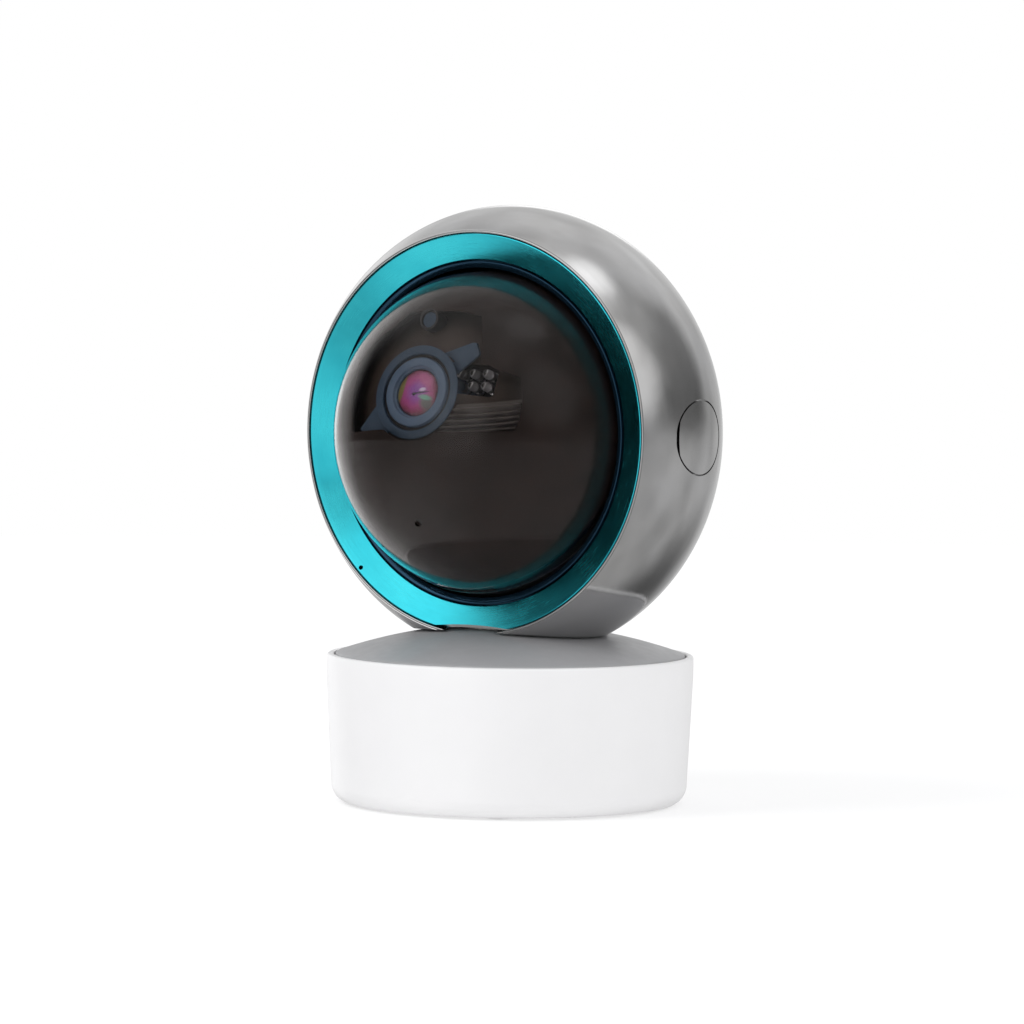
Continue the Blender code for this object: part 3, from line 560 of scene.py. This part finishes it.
LOOKS = {
    "white": moulded("white_satin_plastic", (0.86, 0.855, 0.86), 0.34, variation=0.012, Coat_Weight=0.12),
    "grey": moulded("grey_satin_plastic", (0.385, 0.385, 0.395), 0.42, depth=0.008, variation=0.03),
    "rubber": moulded("black_rubber", (0.022, 0.022, 0.023), 0.8, grain=0.5, depth=0.02, variation=0.15),
    "steel": metal("plain_steel", (0.56, 0.56, 0.57), 0.3),
    "brass": metal("machined_brass", (0.72, 0.52, 0.22), 0.28),
    "acetal": moulded("natural_acetal", (0.79, 0.775, 0.72), 0.38, depth=0.004),
    "black": moulded("black_moulding", (0.012, 0.012, 0.014), 0.42, variation=0.2),
    "gloss_black": moulded(
        "gloss_black_moulding", (0.008, 0.012, 0.02), 0.10, depth=0.0006, variation=0.2, Coat_Weight=0.6
    ),
    # The collar is a gloss black moulding; its dark blue is a painted reflection of the teal ring in the dome's edge.
    "collar": moulded("collar_painted_teal_reflection", (0.020, 0.060, 0.105), 0.16, depth=0.0006, variation=0.1, Metallic=0.85),
    "board": board_look("circuit_board_green", (0.008, 0.075, 0.035), (0.62, 0.60, 0.56)),
    "dark_board": board_look("circuit_board_black", (0.006, 0.006, 0.007), (0.30, 0.29, 0.27)),
    "chrome": chrome("chrome_plating"),
    "teal": anodised("teal_anodised"),
    "dome": clear("smoked_clear_plastic", (0.74, 0.71, 0.70), ior=1.22),
    "paint": inner_moulding("mask_moulding", (0.024, 0.0155, 0.0135), 0.6, 0.35, 0.15),
    "bezel": inner_moulding("back_plate_moulding", (0.050, 0.037, 0.031), 0.5, 0.3, 0.2),
    "rib": inner_moulding("rib_moulding", (0.075, 0.066, 0.06), 0.4, 0.1),
    "bracket": inner_moulding("blue_grey_moulding", (0.037, 0.070, 0.115), 0.5, 0.08),
    "barrel": inner_moulding("lens_barrel_moulding", (0.090, 0.145, 0.225), 0.45, 0.08),
    "coating": coating_with_painted_reflections("lens_coating_painted_reflections"),
    "glass": clear("lens_cover_glass", (0.93, 0.86, 0.95), 0.005, 1.52),
    "lamp": clear("lamp_epoxy", (0.92, 0.93, 0.95), 0.01, 1.5),
}


def dress(obj, look):
    obj.data.materials.clear()
    obj.data.materials.append(LOOKS[look])
    return obj


def piece(obj, name, body, look, slot, *stands_for, angle=32):
    """Names a finished mesh, gives it its look and body, and hides the CAD nodes it stands for."""
    obj.name = obj.data.name = name
    if not obj.data.has_custom_normals:
        smooth(obj, angle)
    dress(obj, look)
    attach(obj, body)
    if stands_for:
        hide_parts(*stands_for)
    return obj


# ---------------------------------------------------------------- base


def base_shell():
    foot = arc(BASE_FILLET, 0, -asin(3.2 / BASE_FILLET), 14, (BASE_FOOT_RADIUS - BASE_FILLET, BASE_FILLET))
    rim = arc(0.5, radians(90), 0, 7, (BASE_RADIUS - 0.5, BASE_HEIGHT - 0.5))
    profile = [
        (RIM_INNER, BASE_HEIGHT - 0.25),
        (RIM_INNER + 0.08, BASE_HEIGHT - 0.08),
        (RIM_INNER + 0.25, BASE_HEIGHT),
        *rim,
        (BASE_RADIUS, 25.5),
        (BASE_RADIUS, 24),
        (BASE_RADIUS - 0.49, 14),
        *foot,
        (30.7, 0.4),
        (30.5, 0.6),
        (30.5, 2.9),
        (BASE_FOOT_RADIUS - BASE_WALL, 3.9),
        (BASE_RADIUS - BASE_WALL, 23.5),
        (BASE_RADIUS - BASE_WALL, 25.6),
        (RIM_INNER, 25.6),
    ]
    shell = turned(profile, 240)
    slot = rounded_corners([(-4.9, 6.05), (4.9, 6.05), (4.9, 9.95), (-4.9, 9.95)], 1.9, 10)
    holes = [
        cylinder(0.75, -38, -28, "F", (3.0 * column, 0, 14.6 + 3.2 * row), 24)
        for row in range(3)
        for column in range(-2, 3)
    ]
    minus(shell, plate(slot, -38, -28, "F"), *holes)
    piece(shell, "fine_base_shell", "base", "white", "white_plastic", "base_shell")


def base_cap():
    edge = RIM_INNER - 0.3
    bore = 9.6
    radii = spread(bore, edge - 0.35, 24)
    top = [(r, cap_height(r)) for r in radii]
    under = [(r, cap_height(r, -2.0)) for r in reversed(spread(12.0, edge - 0.8, 12))]
    profile = [
        *top,
        (edge - 0.1, cap_height(edge) - 0.02),
        (edge, cap_height(edge) - 0.2),
        (edge, BASE_HEIGHT - 1.9),
        *under,
        (12.0, 22.0),
        (bore, 22.0),
    ]
    piece(turned(profile, 200), "fine_base_cap", "base", "grey", "grey_plastic", "base_cap")


def underside():
    profile = [
        (0, 2.6),
        (30.2, 2.6),
        (30.2, 0.85),
        (29.95, 0.6),
        (25.9, 0.6),
        (25.8, 0.7),
        (25.8, 1.4),
        (0, 1.4),
    ]
    cover = turned(profile, 160)
    centres = [(BOSS_CIRCLE * cos(a), BOSS_CIRCLE * sin(a), 0) for a in (radians(60), radians(180), radians(300))]
    minus(cover, *[cylinder(1.9, -1, 4, "Z", c, 40) for c in centres])
    piece(cover, "fine_bottom_cover", "base", "white", "white_plastic", "bottom_cover")
    pad = rounded_corners([(0, 1.1), (25.5, 1.1), (25.5, 0), (0, 0)], 0.35, 5, False)
    piece(turned(pad, 160), "fine_foot_pad", "base", "rubber", "rubber", "foot_pad")
    for number, centre in enumerate(centres, 1):
        head = rounded_corners([(0, 9.0), (0.8, 9.0), (0.8, 2.6), (1.6, 2.0), (1.6, 0.9), (0, 0.9)], 0.15, 3, False)
        screw = turned(head, 40, "Z", centre)
        x, y, _ = centre
        minus(
            screw,
            block((x - 0.95, y - 0.19, 0.5), (x + 0.95, y + 0.19, 1.5), 0.05),
            block((x - 0.19, y - 0.95, 0.5), (x + 0.19, y + 0.95, 1.5), 0.05),
        )
        piece(screw, f"fine_base_screw_{number}", "base", "steel", "steel", f"base_screw_{number}")


def usb_inlet():
    outer = rounded_corners([(-4.5, 6.4), (4.5, 6.4), (4.5, 9.6), (-4.5, 9.6)], 1.55, 8)
    inner = rounded_corners([(-4.15, 6.75), (4.15, 6.75), (4.15, 9.25), (-4.15, 9.25)], 1.2, 8)
    socket = plate(outer, -33.4, -26.0, "F", edge=0.08)
    minus(socket, plate(inner, -36, -27.5, "F"))
    piece(socket, "fine_usb_socket", "base", "steel", "steel", "usb_socket")
    tongue = plate([(-3.3, 7.66), (3.3, 7.66), (3.3, 8.34), (-3.3, 8.34)], -32.4, -27.6, "F", edge=0.08)
    piece(tongue, "usb_tongue", "base", "black", "black_plastic")
    contacts = [
        block((x - 0.12, 28.2, z), (x + 0.12, 32.0, z + 0.04), 0.01)
        for x in spread(-2.75, 2.75, 12)
        for z in (7.63, 8.33)
    ]
    piece(joined(*contacts), "usb_contacts", "base", "brass", "brass")


# ---------------------------------------------------------------- head


def head_shell():
    """The chrome body: a spheroid with its front cut for the ring and its underside cut to follow the base cap."""
    inner_radius, inner_depth = HEAD_RADIUS - HEAD_WALL, HEAD_DEPTH - HEAD_WALL
    first = asin(-RING_Y / HEAD_DEPTH)
    outer = [(HEAD_RADIUS * cos(a), HEAD_DEPTH * sin(a)) for a in spread(first - 0.006, -pi / 2, 96)]
    outer[-1] = (0, -HEAD_DEPTH)
    lip_radius = HEAD_RADIUS * cos(first)
    half = (lip_radius - RING_SEAT) / 2
    lip = arc(half, pi, 0.15, 9, (RING_SEAT + half, -RING_Y - half))
    shell = turned([(0, 10.9), (RING_SEAT, 10.9), *lip, *outer], 256, "F", HEAD_CENTRE)
    neck = RING_SEAT - 0.4
    hollow = [(inner_radius * cos(a), inner_depth * sin(a)) for a in spread(acos(neck / inner_radius), -pi / 2, 40)]
    hollow[-1] = (0, -inner_depth)
    hollow = turned([(0, 20), (neck, 20), *hollow], 144, "F", HEAD_CENTRE)
    minus(hollow, under_cap(2.3))
    cuts = [under_cap(0.5), hollow, cylinder(10.2, 20, 40)]
    for side in (-1, 1):
        cuts.append(cylinder(7.0, *sorted((side * SIDE_CAP_SEAT, side * 48)), "X", (0, SIDE_CAP_Y, HEAD_Z), 128))
        cuts.append(cylinder(1.3, *sorted((side * 30, side * 48)), "X", (0, BALL_Y + 6.6, HEAD_Z), 24))
    minus(shell, *cuts)
    smooth(shell)
    exact_normals(shell, HEAD_CENTRE, [((HEAD_RADIUS, HEAD_DEPTH, HEAD_RADIUS), 1)])
    piece(shell, "fine_head_shell", "head", "chrome", "chrome_plating", "head_shell")


def front_ring():
    """The teal ring: a shallow cone that leans in towards the ball, with a fine bevel each side."""
    outer = RING_SEAT - 0.1
    low, high = (32.12, -11.80), (36.42, -13.50)
    slope = (high[1] - low[1]) / (high[0] - low[0])
    profile = [
        (31.97, -11.45),
        (32.0, -11.62),
        low,
        *[(r, low[1] + (r - low[0]) * slope) for r in spread(32.4, 36.2, 8)],
        (outer - 0.23, -13.56),
        (outer - 0.09, -13.51),
        (outer, -13.35),
        (outer, -11.0),
        (31.97, -11.0),
    ]
    ring = turned([(r, -y) for r, y in profile], 288, "F", HEAD_CENTRE)
    spot = (36.0 * cos(MICROPHONE_ANGLE), 0, HEAD_Z + 36.0 * sin(MICROPHONE_ANGLE))
    minus(ring, cylinder(0.42, 5, 20, "F", spot, 32), under_cap(1.4))
    piece(ring, "fine_front_ring", "head", "teal", "teal_anodised", "front_ring", angle=20)


def inner_collar():
    profile = [
        (30.5, -11.35),
        (30.62, -11.52),
        (31.42, -11.92),
        (31.55, -11.95),
        (31.64, -11.92),
        (31.67, -11.85),
        (31.67, -9.9),
        (33.0, -9.9),
        (33.0, -8.3),
        (31.15, -8.3),
        (30.85, -9.6),
    ]
    collar = turned([(r, -y) for r, y in profile], 240, "F", HEAD_CENTRE)
    piece(collar, "fine_inner_collar", "head", "collar", "gloss_black_plastic", "inner_collar")


def side_caps():
    """Flush round covers over the screws, each following the head's own curve."""
    for side, word in ((-1, "left"), (1, "right")):
        radii = (HEAD_RADIUS - 0.03, HEAD_DEPTH - 0.03)
        curve = [(radii[0] * cos(a), radii[1] * sin(a)) for a in spread(pi / 2, -pi / 2, 129)]
        curve[0], curve[-1] = (0, radii[1]), (0, -radii[1])
        crown = turned(curve, 256, "F", HEAD_CENTRE)
        low, high = sorted((side * 41.0, side * 48))
        cap = cylinder(6.7, low, high, "X", (0, SIDE_CAP_Y, HEAD_Z), 128)
        common(cap, crown)
        smooth(cap)
        exact_normals(cap, HEAD_CENTRE, [((radii[0], radii[1], radii[0]), 1)])
        piece(cap, f"fine_side_cap_{word}", "head", "chrome", "chrome_plating", f"side_cap_{word}")


# ---------------------------------------------------------------- ball


def sphere_profile(radius, first, last, count):
    """Points on a sphere about the lens axis, from one angle off it to another."""
    points = [(radius * sin(a), radius * cos(a)) for a in spread(first, last, count)]
    for end, angle in ((0, first), (-1, last)):
        if angle == 0:
            points[end] = (0, radius)
    return points


def ball_openings(pinhole, margin=0.0):
    """Cutters for the pivots, the microphone's pinhole, the card slot and the reset button's hole."""
    down = BALL_FRAME @ Matrix.Rotation(MICROPHONE_DROP, 4, "X")
    return [
        cylinder(PIVOT_BORE, -REACH, REACH, "X", within=BALL_FRAME),
        cylinder(pinhole, 20, REACH, "F", steps=32, within=down),
        block((-6.4 - margin, -2.6 - margin, -34), (6.4 + margin, -0.9 + margin, -22), 0.3, BALL_FRAME),
        block((-11.5 - margin, -2.5 - margin, -34), (-8.5 + margin, -0.7 + margin, -22), 0.3, BALL_FRAME),
    ]


def dome():
    inner = BALL_RADIUS - DOME_WALL
    edge = radians(90) - asin(0.15 / BALL_RADIUS)
    profile = [*sphere_profile(BALL_RADIUS, 0, edge, 72), *sphere_profile(inner, edge, 0, 64)]
    shell = turned(profile, 224, "F", within=BALL_FRAME)
    minus(shell, *ball_openings(0.55))
    smooth(shell)
    exact_normals(shell, BALL_CENTRE, [((BALL_RADIUS,) * 3, 1), ((inner,) * 3, -1)])
    piece(shell, "fine_dome", "ball", "dome", "smoked_dome", "dome")


def window_outline():
    """The mask's opening as (right, up) points across the lens axis."""
    corners = [
        (-14.4, -7.3),
        (-15.3, -0.4),
        (-15.5, 6.7),
        (-12.7, 10.3),
        (-8.6, 12.8),
        (-6.6, 15.8),
        (-1.9, 16.0),
        (5.0, 16.1),
        (8.9, 15.4),
        (11.5, 9.5),
        (12.1, 6.3),
        (15.5, 5.1),
        (18.8, 4.5),
        (19.7, 0.5),
        (19.6, -3.2),
        (18.9, -5.5),
        (9.0, -7.2),
    ]
    return rounded_corners(corners, 0.8, 4, sharpest=30)


EAR_UPPER = [(2.6, 7.2), (3.0, 8.3), (8.5, 10.3), (9.4, 10.25), (10.4, 8.3), (10.3, 7.9), (6.2, 4.4), (3.0, 4.0)]
EAR_LOWER = [(-10.5, -2.3), (-12.9, -6.4), (-12.7, -6.75), (-7.1, -7.1), (-4.0, -5.0), (-6.0, 1.0)]


def mask():
    """The dark mask close behind the dome, open over the lens, the lamps and the light sensor."""
    inner = MASK_RADIUS - MASK_WALL
    edge = radians(85.2)
    profile = [*sphere_profile(MASK_RADIUS, 0, edge, 64), *sphere_profile(inner, edge, 0, 64)]
    cover = turned(profile, 200, "F", within=BALL_FRAME)
    window = plate(window_outline(), 8, REACH, "F", within=BALL_FRAME)
    lens_room = cylinder(9.6, 8, REACH, "F", (0.5, 0, 0.4), 128, BALL_FRAME)
    minus(cover, *ball_openings(0.75, 0.1), window, lens_room)
    smooth(cover)
    exact_normals(cover, BALL_CENTRE, [((MASK_RADIUS,) * 3, 1), ((inner,) * 3, -1)])
    piece(cover, "fine_dome_mask", "ball", "paint", "black_plastic")


def rear_shell():
    radius = BALL_RADIUS - 0.25
    inner = radius - 1.6
    edge = radians(90) - asin(0.15 / radius)
    outside = [(r, -h) for r, h in sphere_profile(radius, edge, 0, 48)]
    inside = [(r, -h) for r, h in sphere_profile(inner, 0, edge, 40)]
    rear = turned([*outside, *inside], 144, "F", within=BALL_FRAME)
    minus(rear, cylinder(PIVOT_BORE, -REACH, REACH, "X", within=BALL_FRAME))
    piece(rear, "fine_ball_rear_shell", "ball", "black", "black_plastic", "ball_rear_shell")


def lens():
    barrel = [
        (4.95, 27.12),
        (5.1, 27.15),
        (6.2, 27.15),
        (6.4, 27.05),
        (BARREL_RADIUS, 26.85),
        (BARREL_RADIUS, 10.0),
        (3.0, 10.0),
        (3.0, 24.6),
        (4.5, 24.6),
        (4.45, 26.55),
        (4.55, 26.7),
        (4.68, 26.72),
        (4.8, 26.9),
    ]
    barrel = turned(barrel, 128, "F", LENS_AT, BALL_FRAME)
    piece(barrel, "fine_lens_barrel", "ball", "barrel", "black_plastic", "lens_barrel")
    front = [(r, 25.7 + 1.2 * sqrt(max(0, 1 - (r / 4.8) ** 2))) for r in spread(0, 4.4, 24)]
    element = turned([*front, (4.4, 24.9), (0, 24.9)], 96, "F", LENS_AT, BALL_FRAME)
    piece(element, "fine_lens_glass", "ball", "coating", "lens_glass", "lens_glass")

    ring = [(7.6, 25.0), (7.2, 25.0), (7.2, 26.8), (7.32, 26.95), (8.55, 26.95), (8.8, 26.8), (8.8, 26.7)]
    bracket = turned(ring, 128, "F", LENS_AT, BALL_FRAME)
    ears = []
    for outline in (EAR_UPPER, EAR_LOWER):
        ear = plate(rounded_corners(outline, 0.2), 24.8, 25.4, "F", within=BALL_FRAME, edge=0.1)
        ears.append(minus(ear, cylinder(7.3, 20, 30, "F", LENS_AT, 128, BALL_FRAME)))
    piece(joined(bracket, *ears), "fine_lens_bracket", "ball", "bracket", "bracket_plastic", "lens_bracket")
    # A black ring deep in the gap between barrel and bracket, standing in for the gap's shade: painted shade.
    gap_ring_inner = BARREL_RADIUS + 0.04
    gap_ring = [(7.15, 25.2), (gap_ring_inner, 25.2), (gap_ring_inner, 26.3), (7.15, 26.3)]
    piece(turned(gap_ring, 96, "F", LENS_AT, BALL_FRAME), "lens_gap_shade_ring", "ball", "rubber", "rubber")


def lens_surround():
    """A dark inner face behind the mask's opening, which the lens, its ears and the lamps stand through."""
    edge = radians(50)
    face = [*sphere_profile(SURROUND_RADIUS, 0, edge, 40), *sphere_profile(SURROUND_RADIUS - 0.3, edge, 0, 40)]
    face = turned(face, 160, "F", within=BALL_FRAME)
    lamps_hole = rounded_corners([(3.0, 0.6), (13.4, 0.6), (13.4, 6.6), (3.0, 6.6)], 0.8)
    minus(
        face,
        cylinder(7.4, 8, 34, "F", LENS_AT, 96, BALL_FRAME),
        plate(lamps_hole, 8, 34, "F", within=BALL_FRAME),
        block((-30, -30, -30), (30, 10, -8.0), 0.0, BALL_FRAME),
        cylinder(2.0, 8, 34, "F", SENSOR_AT, 48, BALL_FRAME),
    )
    piece(face, "lens_surround", "ball", "bezel", "black_plastic")


def bezel():
    """The black plate deep behind the mask, which carries the lamps' board."""
    left = arc(19.4, radians(197), radians(120), 24)
    outline = [*left, (-8.0, 17.6), (6.4, 18.2), (8.4, 17.2), (9.8, 11.6), (14.0, 10.8), (17.8, 7.4), (18.4, -6.2)]
    window = rounded_corners([(8.0, 2.0), (12.0, 2.0), (12.0, 5.0), (8.0, 5.0)], 0.6)
    back = plate(outline, 17.4, 18.4, "F", within=BALL_FRAME, edge=0.15)
    minus(back, cylinder(9.3, 10, 25, "F", LENS_AT, 96, BALL_FRAME), plate(window, 15, 23, "F", within=BALL_FRAME))
    piece(back, "fine_bezel", "ball", "bezel", "black_plastic", "bezel")


def louvre():
    """Curved ribs under the lamps that follow the mask's sphere and climb a little towards the back."""
    slope = BALL_FRAME @ Matrix.Rotation(radians(26), 4, "X")
    low, high, count = 5.0, 9.9, 5
    pitch = (high - low) / count
    comb = [(26.0, high + 0.3), (26.0, low - 0.3)]
    for rib in range(count):
        bottom = low + pitch * (rib + 0.3)
        out = sqrt(28.6**2 - (bottom + 0.2) ** 2)
        comb += [(26.5, bottom), (out - 0.08, bottom + 0.02), (out, bottom + 0.1), (out, bottom + 0.3)]
        comb += [(out - 0.08, bottom + 0.38), (26.5, bottom + 0.42)]
    ribs = turned(comb, 360, "Z", within=slope)
    common(ribs, block((4.0, -30, -9), (18.6, -12, 3), 0.0, BALL_FRAME))
    minus(ribs, cylinder(9.4, 8, 34, "F", LENS_AT, 128, BALL_FRAME))
    piece(ribs, "fine_louvre", "ball", "rib", "black_plastic", "louvre")


def lamps():
    """Clear lamps, each over a bright cup."""
    number = 0
    for row in range(2):
        for column in range(3):
            number += 1
            spot = (5.4 + 2.9 * column, 0, 2.8 + 2.3 * row)
            lamp = [(0, 23.8), *[(0.9 * sin(a), 22.9 + 0.9 * cos(a)) for a in spread(0.15, pi / 2, 12)]]
            lamp += [(0.9, 20.5), (1.05, 20.4), (1.05, 19.9), (0, 19.9)]
            bulb = turned(lamp, 48, "F", spot, BALL_FRAME)
            piece(bulb, f"fine_ir_led_{number}", "ball", "lamp", "lens_glass", f"ir_led_{number}")
            cup = [(0.7, 22.0), (0.25, 20.8), (0, 20.8), (0, 20.7), (0.3, 20.7), (0.75, 22.0)]
            piece(turned(cup, 32, "F", spot, BALL_FRAME), f"lamp_cup_{number}", "ball", "steel", "steel")


def light_sensor():
    eye = rounded_corners([(0, 25.2), (1.45, 25.2), (1.45, 22.4), (0, 22.4)], 0.12, 4, False)
    eye = turned(eye, 64, "F", SENSOR_AT, BALL_FRAME)
    piece(eye, "fine_light_sensor", "ball", "bracket", "bracket_plastic", "light_sensor")
    rim = rounded_corners([(2.0, 25.6), (2.0, 22.4), (1.55, 22.4), (1.55, 25.6)], 0.1, 3)
    piece(turned(rim, 64, "F", SENSOR_AT, BALL_FRAME), "light_sensor_rim", "ball", "black", "black_plastic")


def reset_button():
    button = block((-11.2, -2.2, -28.6), (-8.8, -1.0, -26.6), 0.25, BALL_FRAME)
    piece(button, "fine_reset_button", "reset_button", "black", "black_plastic", "reset_button")


CARRIED = {
    "steel": "ballast_plate pan_motor motor_plate spindle_clip tilt_pivot_left tilt_pivot_right side_screw_left "
    "side_screw_right ring_microphone shield_can tilt_motor",
    "board": "base_board",
    "dark_board": "main_board ir_board wifi_antenna",
    # The card socket and the dome microphone are dressed black as painted shade, so that the card slot and the pinhole
    # read dark.
    "black": "card_socket dome_microphone speaker wiring_loom yoke ball_frame lens_holder",
    "gloss_black": "image_sensor",
    "acetal": "loom_socket pan_bushing pan_spindle pan_gear tilt_fixed_gear",
    "brass": "pan_pinion tilt_pinion",
}


def dress_cad():
    for look, names in CARRIED.items():
        for name in names.split():
            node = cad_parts[name]
            dress(node, look)
            smooth(node, 32)


# ---------------------------------------------------------------- setting


def floor():
    ground = plate(circle(900.0, 96), -1.0, 0.0)
    ground.name = "floor"
    look = Look("pale_floor", Roughness=0.9)
    look.link("Base Color", look.ramp(look.noise(60, 3), (0.3, (0.505, 0.505, 0.508)), (0.7, (0.515, 0.515, 0.515))))
    look.set("Emission Color", (1.0, 1.0, 1.0))
    look.set("Emission Strength", 0.50)
    look.set("Specular IOR Level", 0.0)
    ground.data.materials.append(look.material)
    ground.visible_glossy = False


def direction(azimuth, elevation):
    """A unit vector; azimuth 0 is the front, 90 the object's left hand side at +X."""
    a, e = radians(azimuth), radians(elevation)
    return (sin(a) * cos(e), -cos(a) * cos(e), sin(e))


def studio():
    """A white backdrop and even light, with soft panels and dark flags that only mirrors show."""
    world = bpy.data.worlds.new("studio")
    bpy.context.scene.world = world
    world.use_nodes = True
    nodes, links = world.node_tree.nodes, world.node_tree.links
    nodes.clear()

    def math(operation, first, second=0.0):
        made = nodes.new("ShaderNodeMath")
        made.operation = operation
        for socket, value in zip(made.inputs, (first, second)):
            if isinstance(value, bpy.types.NodeSocket):
                links.new(value, socket)
            else:
                socket.default_value = value
        return made.outputs[0]

    coords = nodes.new("ShaderNodeTexCoord").outputs["Generated"]
    apart = nodes.new("ShaderNodeSeparateXYZ")
    links.new(coords, apart.inputs[0])
    height = math("MULTIPLY_ADD", apart.outputs[2], 0.5)
    height.node.inputs[2].default_value = 0.5
    ramp = nodes.new("ShaderNodeValToRGB")
    ramp.color_ramp.interpolation = "B_SPLINE"
    stops = (
        (0.0, 0.42),
        (0.25, 0.56),
        (0.40, 0.56),
        (0.48, 0.50),
        (0.52, 0.37),
        (0.62, 0.36),
        (0.72, 0.46),
        (0.86, 0.52),
        (1.0, 0.55),
    )
    elements = ramp.color_ramp.elements
    while len(elements) < len(stops):
        elements.new(0.5)
    for element, (position, value) in zip(elements, stops):
        element.position = position
        element.color = (value, value, value, 1)
    links.new(height, ramp.inputs[0])
    total = ramp.outputs[0]
    # Each panel: azimuth and elevation in degrees, half angle, softness, brightness added.
    panels = (
        (70, 26, 12, 16, 0.62),
        (92, 74, 5, 10, 0.55),
        (200, 34, 22, 36, 0.30),
        (210, 14, 3, 6, 0.85),
        (126, 21, 20, 14, -0.21),
        (96, 12, 3, 10, -0.12),
        (180, -50, 10, 30, -0.38),
        (4, 4, 12, 16, 0.75),
        (318, 42, 14, 18, 0.35),
        (342, 24, 9, 14, 1.0),
        (286, 0, 28, 20, -0.42),
        (246, 4, 8, 22, 0.75),
        (324, -44, 14, 20, 0.60),
        (46, 2, 22, 22, -0.22),
        (20, 72, 14, 24, 0.40),
        (5, 15, 2, 6, -0.85),
        (308, 29, 2, 6, -0.60),
    )
    for azimuth, elevation, half, soft, strength in panels:
        dot = nodes.new("ShaderNodeVectorMath")
        dot.operation = "DOT_PRODUCT"
        links.new(coords, dot.inputs[0])
        dot.inputs[1].default_value = direction(azimuth, elevation)
        part = nodes.new("ShaderNodeMapRange")
        part.interpolation_type = "SMOOTHSTEP"
        links.new(dot.outputs["Value"], part.inputs[0])
        part.inputs[1].default_value = cos(radians(half + soft))
        part.inputs[2].default_value = cos(radians(max(0.0, half - soft * 0.4)))
        part.inputs[3].default_value = 0.0
        part.inputs[4].default_value = strength
        total = math("ADD", total, part.outputs[0])
    total = math("MAXIMUM", total, 0.03)
    mottle = nodes.new("ShaderNodeTexNoise")
    links.new(coords, mottle.inputs["Vector"])
    mottle.inputs["Scale"].default_value = 2.6
    mottle.inputs["Detail"].default_value = 3.0
    wobble = nodes.new("ShaderNodeMapRange")
    links.new(mottle.outputs[0], wobble.inputs[0])
    for socket, value in zip(wobble.inputs[1:5], (0.3, 0.7, 0.8, 1.2)):
        socket.default_value = value
    total = math("MULTIPLY", total, wobble.outputs[0])
    path = nodes.new("ShaderNodeLightPath")

    def background(strength, colour=(1, 1, 1, 1)):
        made = nodes.new("ShaderNodeBackground")
        made.inputs["Color"].default_value = colour
        if isinstance(strength, bpy.types.NodeSocket):
            links.new(strength, made.inputs["Strength"])
        else:
            made.inputs["Strength"].default_value = strength
        return made.outputs[0]

    def chosen(share, otherwise, wanted):
        made = nodes.new("ShaderNodeMixShader")
        links.new(share, made.inputs[0])
        links.new(otherwise, made.inputs[1])
        links.new(wanted, made.inputs[2])
        return made.outputs[0]

    shown = chosen(path.outputs["Is Glossy Ray"], background(1.0, (0.985, 0.99, 1.0, 1)), background(total))
    shown = chosen(path.outputs["Is Camera Ray"], shown, background(1.0))
    output = nodes.new("ShaderNodeOutputWorld")
    links.new(shown, output.inputs["Surface"])


def lamp(name, azimuth, elevation, distance, size, power):
    data = bpy.data.lights.new(name, "AREA")
    data.shape = "DISK"
    data.size = size
    data.energy = power
    obj = bpy.data.objects.new(name, data)
    bpy.context.scene.collection.objects.link(obj)
    target = Vector(HEAD_CENTRE) * MM
    away = Vector(direction(azimuth, elevation))
    obj.location = target + away * distance
    obj.rotation_mode = "QUATERNION"
    obj.rotation_quaternion = away.to_track_quat("Z", "Y")
    return obj


def camera():
    """Stands in front and to the right, a little above the lens, with a long lens."""
    azimuth, pitch, roll = radians(33.64), radians(-2.827), radians(0.573)
    ahead = Vector((-sin(azimuth) * cos(pitch), cos(azimuth) * cos(pitch), sin(pitch)))
    level = ahead.cross(Vector((0, 0, 1))).normalized()
    above = level.cross(ahead)
    right = level * cos(roll) + above * sin(roll)
    up = above * cos(roll) - level * sin(roll)
    data = bpy.data.cameras.new("camera")
    data.lens = 167.76
    data.sensor_width = 36.0
    obj = bpy.data.objects.new("camera", data)
    bpy.context.scene.collection.objects.link(obj)
    turn = Matrix((right, up, -ahead)).transposed().to_4x4()
    obj.matrix_world = Matrix.Translation(Vector((493.8, -742.0, 98.4)) * MM) @ turn
    bpy.context.scene.camera = obj


base_shell()
base_cap()
underside()
usb_inlet()
head_shell()
front_ring()
inner_collar()
side_caps()
dome()
mask()
rear_shell()
lens()
lens_surround()
bezel()
louvre()
lamps()
light_sensor()
reset_button()
dress_cad()
floor()
studio()
key = lamp("key", -30, 48, 1.3, 0.5, 3.0)
key.visible_glossy = key.visible_transmission = False
camera()
bpy.context.scene.view_settings.view_transform = "Standard"
